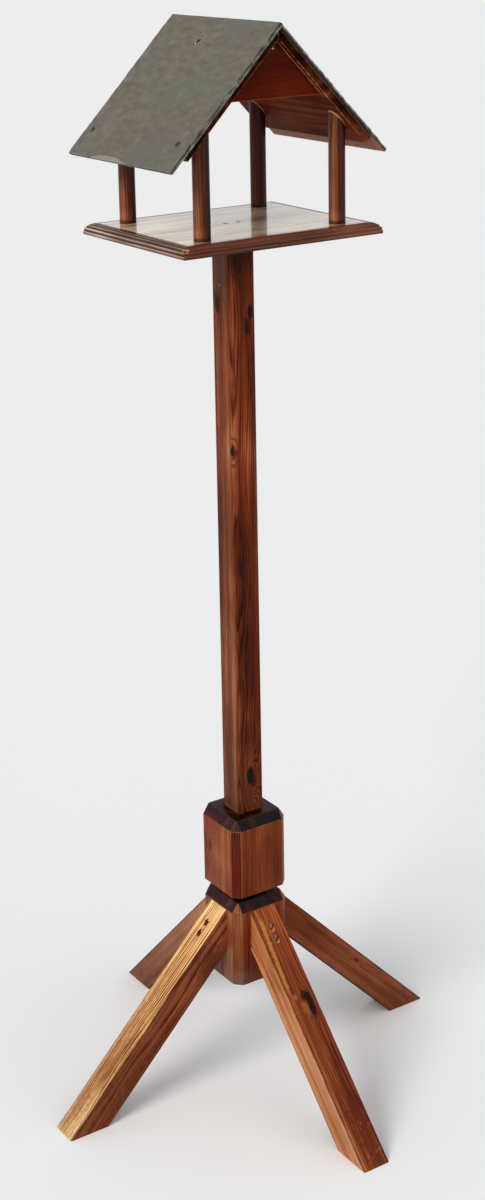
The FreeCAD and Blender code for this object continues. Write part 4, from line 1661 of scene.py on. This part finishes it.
@dataclass
class Roof:
    """The roof: posts, boards, gable panels, slates and their screws.

    Attributes:
        pitch: The slopes' angle.
        setback: How far the roof's middle lies towards the back.
        ridge: Height of the ridge.
        bed: Height of the boards' upper faces at the ridge.
        slope: Length of a board down the slope.
        length: Length of a board along the ridge.
        thickness: Thickness of a board.
        arris: Rounding of a board's edges.
        lap: How far the head of the right slate lies below the ridge.
        holes: The slates' screws, down the slope and along the ridge.
        screw: A slate's screw.
        screw_depth: How deep the screws' heads lie below a slate's upper plane.
        upper_crater: Radius and depth of the broken place at the upper screw, and the radius of
            the painted shade in its hole.
        lower_crater: The same at a lower screw.
        apex_shade: Heights with how bright the boards are there: painted shade, darkest at the
            ridge.
        damp: Heights with how bright the round posts are there: painted shade and grime at their
            feet, and a painted glint just above them.
    """

    pitch: float = math.radians(45.7)
    setback: float = 0.009
    ridge: float = 1.6500246
    bed: float = 1.6421491
    slope: float = 0.224
    length: float = 0.262
    thickness: float = 0.011
    arris: float = 0.0009
    lap: float = 0.0064
    holes: tuple[tuple[float, float], ...] = ((0.043, 0.023), (0.215, 0.119), (0.215, -0.108))
    screw: Screw = field(default_factory=lambda: Screw(0.006, 0.003, 0.0134))
    screw_depth: float = 0.0016
    upper_crater: Triple = (0.0125, 0.0019, 0.0030)
    lower_crater: Triple = (0.0060, 0.0017, 0.0036)
    # Painted shade under the roof, darkening the boards towards the ridge.
    apex_shade: Levels = ((1.48, 1.0), (1.55, 0.9), (1.59, 0.5), (1.65, 0.3))
    # Painted shade and grime at the round posts' feet, with a painted glint just above them.
    damp: Levels = ((1.362, 0.25), (1.3655, 0.4), (1.3685, 1.25), (1.376, 1.2), (1.386, 0.9),
                    (1.42, 1.0), (1.53, 1.0))

    def build(self) -> None:
        """Models and dresses the whole roof."""
        self.dress_posts()
        for side in Side:
            self.lay_board(side)
        self.dress_gables()
        self.lay_slates()

    def placement(self, side: Side, height: float) -> Matrix:
        """The step from a flat frame with X down the slope to the row frame.

        Args:
            side: The slope.
            height: Where its plane meets the ridge.

        Returns:
            The transform, mirrored on the left.
        """
        across = Matrix.Diagonal((side.value, 1, 1, 1))
        return Matrix.Translation((0, self.setback, height)) @ side.tip(self.pitch) @ across

    def dress_posts(self) -> None:
        """Gives each round post its timber."""
        for number, end in enumerate(("front", "back")):
            for side in Side:
                node = side.named("roof_post_" + end)
                low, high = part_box(node)
                shaded = end == "back" and side is Side.RIGHT
                # Each post gets painted light on its left side and painted shade on its right; the
                # back-right one is painted in shade all over.
                wood = StainedWood(
                    ROUND_SHADED if shaded else ROUND_POST, brightness_by_height=self.damp, roughness=0.36,
                    coat=0.16, coat_roughness=0.2, side_tones_and_light=(
                        SideToneAndLight((-0.97, -0.24, 0), ROUND_LIT_SIDE, 0.2 if shaded else 0.7, 0.75),
                        SideToneAndLight((0.86, -0.51, 0), ROUND_SHADED, 0.85, 0.6),
                        SideToneAndLight((side.value * 0.72, 0, 0.70), LEG_AMBER, 0.9)))
                sawing = Sawing((0, 0, 1), tuple((low + high) / 2), pith=(0.03, 0.02 * side.value),
                                ring=0.003, waver=0.005, seed=41.0 + 3 * number + side.value)
                dress_node(node, wood.dress(node, sawing, self.paint_head_highlight))

    def lay_board(self, side: Side) -> None:
        """Models one board with its mitred head and lays it on its slope.

        Args:
            side: The slope.
        """
        name, half = side.named("roof_board"), self.length / 2
        board = add_box(name + "_timber", (0, -half, -self.thickness), (self.slope, half, 0))
        for corner in board.data.vertices:
            if corner.co.x < TINY and corner.co.z < -TINY:
                corner.co.x = self.thickness * math.tan(self.pitch)
        outward = Vector((side.value * math.sin(self.pitch), 0, math.cos(self.pitch)))
        right = side is Side.RIGHT
        # A paler patch on the underside of the right board, beside the front-right post.
        pale_patch = Stain((0.145, -0.100, 1.480), (0.035, 0.050, 0.040), "a2583a", 0.6, 0.95)
        # The boards are darkened towards the ridge by painted shade.
        wood = StainedWood(
            BOARD, contrast=0.4, roughness=0.6, specular=0.03, brightness_by_height=self.apex_shade,
            stains=(pale_patch,) if right else (),
            side_tones_and_light=(SideToneAndLight(tuple(-outward), BOARD_BELOW),
                        SideToneAndLight((0, -1, 0), BOARD_END if right else BOARD_SHADED, 1.0, 0.9)))
        # The rounded arrises get lighter tones, which paint highlights along them.
        worn = replace(wood, tones=BOARD_ARRIS_HIGHLIGHT, side_tones_and_light=(), brightness_by_height=(), contrast=0.8)
        sawing = Sawing((0, 1, 0), (side.value * 0.09, self.setback, self.bed - 0.09),
                        tuple(outward), (0.02, -0.12), ring=0.0045, seed=53.0 + side.value)
        wear(board, wood.dress(name, sawing), worn.dress(name + "_arris", sawing))
        soften(board, self.arris)
        lay(board, self.placement(side, self.bed))
        smooth_faces(board)
        hand_over(board, "column", "roof_board_wood", name)

    def dress_gables(self) -> None:
        """Gives the gable panels their deep red stain."""
        for number, end in enumerate(("front", "back")):
            node = "gable_panel_" + end
            low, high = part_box(node)
            chip = Stain((-0.0045, low.y, 1.6140), (0.0028, 0.004, 0.0016), "f2dcc4")
            wood = StainedWood(GABLE_RED, blush="6a2408", blush_share=0.5, contrast=0.1,
                               banding=0.45, roughness=0.5, relief=0.00015,
                               stains=(chip,) if end == "front" else ())
            sawing = Sawing((1, 0, 0), tuple((low + high) / 2), pith=(0.1, 0.06), ring=0.005,
                            seed=61.0 + number)
            dress_node(node, wood.dress(node, sawing, self.paint_edge_highlights))

    def below_boards(self, graph: Graph, place: Socket) -> Socket:
        """The distance to the underside of the boards, a little uneven.

        Args:
            graph: The material's nodes.
            place: The piece's own coordinates.

        Returns:
            The distance.
        """
        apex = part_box("gable_panel_front")[1].z
        width = graph.times(graph.math("ABSOLUTE", graph.part(place, "X")), math.sin(self.pitch))
        height = graph.times(graph.less(apex, graph.part(place, "Z")), math.cos(self.pitch))
        return graph.ragged(graph.less(height, width), place, BOARD_EDGE, 0.0012)

    def paint_head_highlight(self, graph: Graph, place: Socket) -> None:
        """Paints a highlight on the upper arris of a round post."""
        gap = self.below_boards(graph, place)
        graph.tint(graph.smooth(gap, 0.0009, 0.0019, 0.9, 0.0), HEAD_HIGHLIGHT)

    def paint_edge_highlights(self, graph: Graph, place: Socket) -> None:
        """Paints highlights along a gable panel's edges.

        Args:
            graph: The material's nodes.
            place: The piece's own coordinates.
        """
        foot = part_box("gable_panel_front")[0].z
        above, gap = graph.less(graph.part(place, "Z"), foot), self.below_boards(graph, place)
        graph.tint(graph.smooth(above, 0.0008, 0.0018, 0.4, 0.0), GABLE_FOOT_HIGHLIGHT)
        graph.tint(graph.smooth(gap, 0.0007, 0.0017, 0.9, 0.0), GABLE_EDGE_HIGHLIGHT)

    def lay_slates(self) -> None:
        """Models both slates and sets their screws."""
        stones = {Side.LEFT: (RivenSlate(), 0.0, self.slate_marks()),
                  # The right slate's much lighter underside is painted light on its shaded
                  # overhang.
                  Side.RIGHT: (RivenSlate(below="e09a84", lip="2c2124",
                                          rim=("1e1417", "33272a", "4d3f40"),
                                          broken=("4a4a42", "8a8a78", "b4b4a2")), self.lap, ())}
        upper, *lower = self.holes
        craters = (Crater(*upper, *self.upper_crater),
                   *(Crater(*hole, *self.lower_crater) for hole in lower))
        screws = []
        for side, (stone, head, marks) in stones.items():
            name, placement = side.named("slate"), self.placement(side, self.ridge)
            slate = Slate(side, placement, head, craters, side is Side.LEFT)
            slab, back = slate.model(name + "_stone"), placement.inverted()
            wear(slab, stone.dress(name, back.to_3x3(), back.translation, craters, marks))
            hand_over(slab, "column", "slate", name)
            screws += [Matrix.Translation(placement @ Vector((*hole, -self.screw_depth)))
                       @ side.tip(self.pitch) for hole in self.holes]
        steel = PlatedSteel("7a5a44", "2a1a12").dress("slate_screws")
        group = self.screw.set_out("slate_screw_set", screws, steel)
        hand_over(group, "column", "screw_steel", "slate_screws")

    @staticmethod
    def slate_marks() -> tuple[Stain, ...]:
        """The spots of lichen and the dark streak on the left slate."""
        rows = ((0.025, 0.003, 0.0028, 0.0035, "4f4a42", 0.6, 0.7),
                (0.016, -0.062, 0.0028, 0.0035, "4f4a42", 0.6, 0.7),
                (0.039, -0.044, 0.0028, 0.0035, "4f4a42", 0.6, 0.7),
                (0.138, -0.032, 0.006, 0.005, "7d8570", 0.6, 0.8),
                (0.194, -0.109, 0.006, 0.005, "7d8570", 0.6, 0.8),
                (0.215, -0.019, 0.003, 0.014, "4d4740", 0.6, 0.8),
                (0.2600, -0.018, 0.003, 0.003, "d0ccc0", 0.8, 0.6))
        return tuple(Stain((run, along, 0), (wide, long, 0.01), *look)
                     for run, along, wide, long, *look in rows)


@dataclass(frozen=True)
class Lamp:
    """A lamp as far off as the sun.

    Attributes:
        name: Its name.
        source: The direction that its light comes from.
        strength: Its strength.
        spread: How wide it looks, in degrees.
    """

    name: str
    source: Triple
    strength: float
    spread: float

    def hang(self) -> None:
        """Hangs the lamp in the scene."""
        data = bpy.data.lights.new(self.name, "SUN")
        data.energy, data.angle = self.strength, math.radians(self.spread)
        lamp = bpy.data.objects.new(self.name, data)
        lamp.rotation_euler = (-Vector(self.source)).to_track_quat("-Z", "Y").to_euler()
        bpy.context.scene.collection.objects.link(lamp)


@dataclass
class Studio:
    """The floor, the lamps and the camera.

    Attributes:
        height: The picture's height in pixels.
        focal: The lens's focal length in pixels.
        axis_row: Row of the picture where the lens's axis falls.
        azimuth: The camera's direction round the post, from the front.
        yaw: What is added to that direction for the lens's axis.
        pitch: How far the lens's axis points down.
        roll: The camera's roll.
        distance: The camera's distance from the post's axis.
        eye: The camera's height.
        floor_size: The floor's width.
        floor_drop: How far the floor lies below the feet.
        floor_dim: The floor's colour in the light that it throws back.
        floor_pale: The floor's colour where it shows.
        lamps: A soft key lamp at the left and a weak one at the front.
        room: The colour of the even light.
        room_strength: Its strength.
        wall: The colour of the walls where they show.
    """

    height: int = 1200
    focal: float = 1946.03
    axis_row: float = 420.0
    azimuth: float = math.radians(-33.489)
    yaw: float = math.radians(-0.205)
    pitch: float = math.radians(15.223)
    roll: float = math.radians(-1.056)
    distance: float = 2.7604
    eye: float = 1.8203
    floor_size: float = 240.0
    floor_drop: float = 0.0003
    floor_dim: tuple[float, ...] = (0.30, 0.30, 0.29, 1)
    floor_pale: tuple[float, ...] = (0.975, 0.964, 0.945, 1)
    lamps: tuple[Lamp, ...] = (Lamp("key", (-0.78, -0.22, 0.62), 1.75, 28.0),
                               Lamp("fill", (0.35, -0.75, 0.5), 0.35, 60.0))
    room: tuple[float, ...] = (0.93, 0.96, 1.0, 1)
    room_strength: float = 0.5
    wall: tuple[float, ...] = (0.84, 0.85, 0.85, 1)

    def build(self) -> None:
        """Sets up the whole studio."""
        self.lay_floor()
        for lamp in self.lamps:
            lamp.hang()
        self.light_world()
        self.aim_camera()
        bpy.context.scene.view_settings.view_transform = "Standard"

    def lay_floor(self) -> None:
        """Lays a wide pale floor."""
        deselect()
        bpy.ops.mesh.primitive_plane_add(size=self.floor_size, location=(0, 0, -self.floor_drop))
        floor = name_new("floor")
        graph = Graph(bpy.data.materials.new("pale_floor"))
        graph.colour = graph.mix(graph.seen(), self.floor_dim, self.floor_pale)
        wear(floor, graph.finish({"Roughness": 0.9, "Specular IOR Level": 0.1}))

    def light_world(self) -> None:
        """Gives the room an even light, and pale walls where they show."""
        bpy.context.scene.world = bpy.data.worlds.new("room")
        graph = Graph(bpy.context.scene.world)
        room = graph.node("Background", {"Color": self.room, "Strength": self.room_strength})
        wall = graph.node("Background", {"Color": self.wall})
        both = graph.node("MixShader", {0: graph.seen(), 1: room.outputs[0], 2: wall.outputs[0]})
        graph.node("OutputWorld", {"Surface": both.outputs[0]})

    def aim_camera(self) -> None:
        """Sets the camera where the photograph was taken from."""
        data = bpy.data.cameras.new("camera")
        data.sensor_width, data.clip_end = 36.0, 500.0
        data.lens = self.focal / self.height * data.sensor_width
        data.shift_y = (self.axis_row - self.height / 2) / self.height
        stand = Matrix.Rotation(self.azimuth, 4, "Z") @ Vector((0, -self.distance, self.eye))
        camera = bpy.data.objects.new("camera", data)
        camera.matrix_world = (Matrix.Translation(stand)
                               @ Matrix.Rotation(self.azimuth + self.yaw, 4, "Z")
                               @ Matrix.Rotation(math.pi / 2 - self.pitch, 4, "X")
                               @ Matrix.Rotation(self.roll, 4, "Z"))
        bpy.context.scene.collection.objects.link(camera)
        bpy.context.scene.camera = camera


def main() -> None:
    """Builds the bird table around its frame."""
    logging.basicConfig(level=logging.INFO, format="%(name)s: %(message)s")
    for assembly in (Base(), Column(), Tray(), Roof()):
        assembly.build()
        LOG.info("%s is built", type(assembly).__name__)
    Studio().build()


if __name__ == "__main__":
    main()
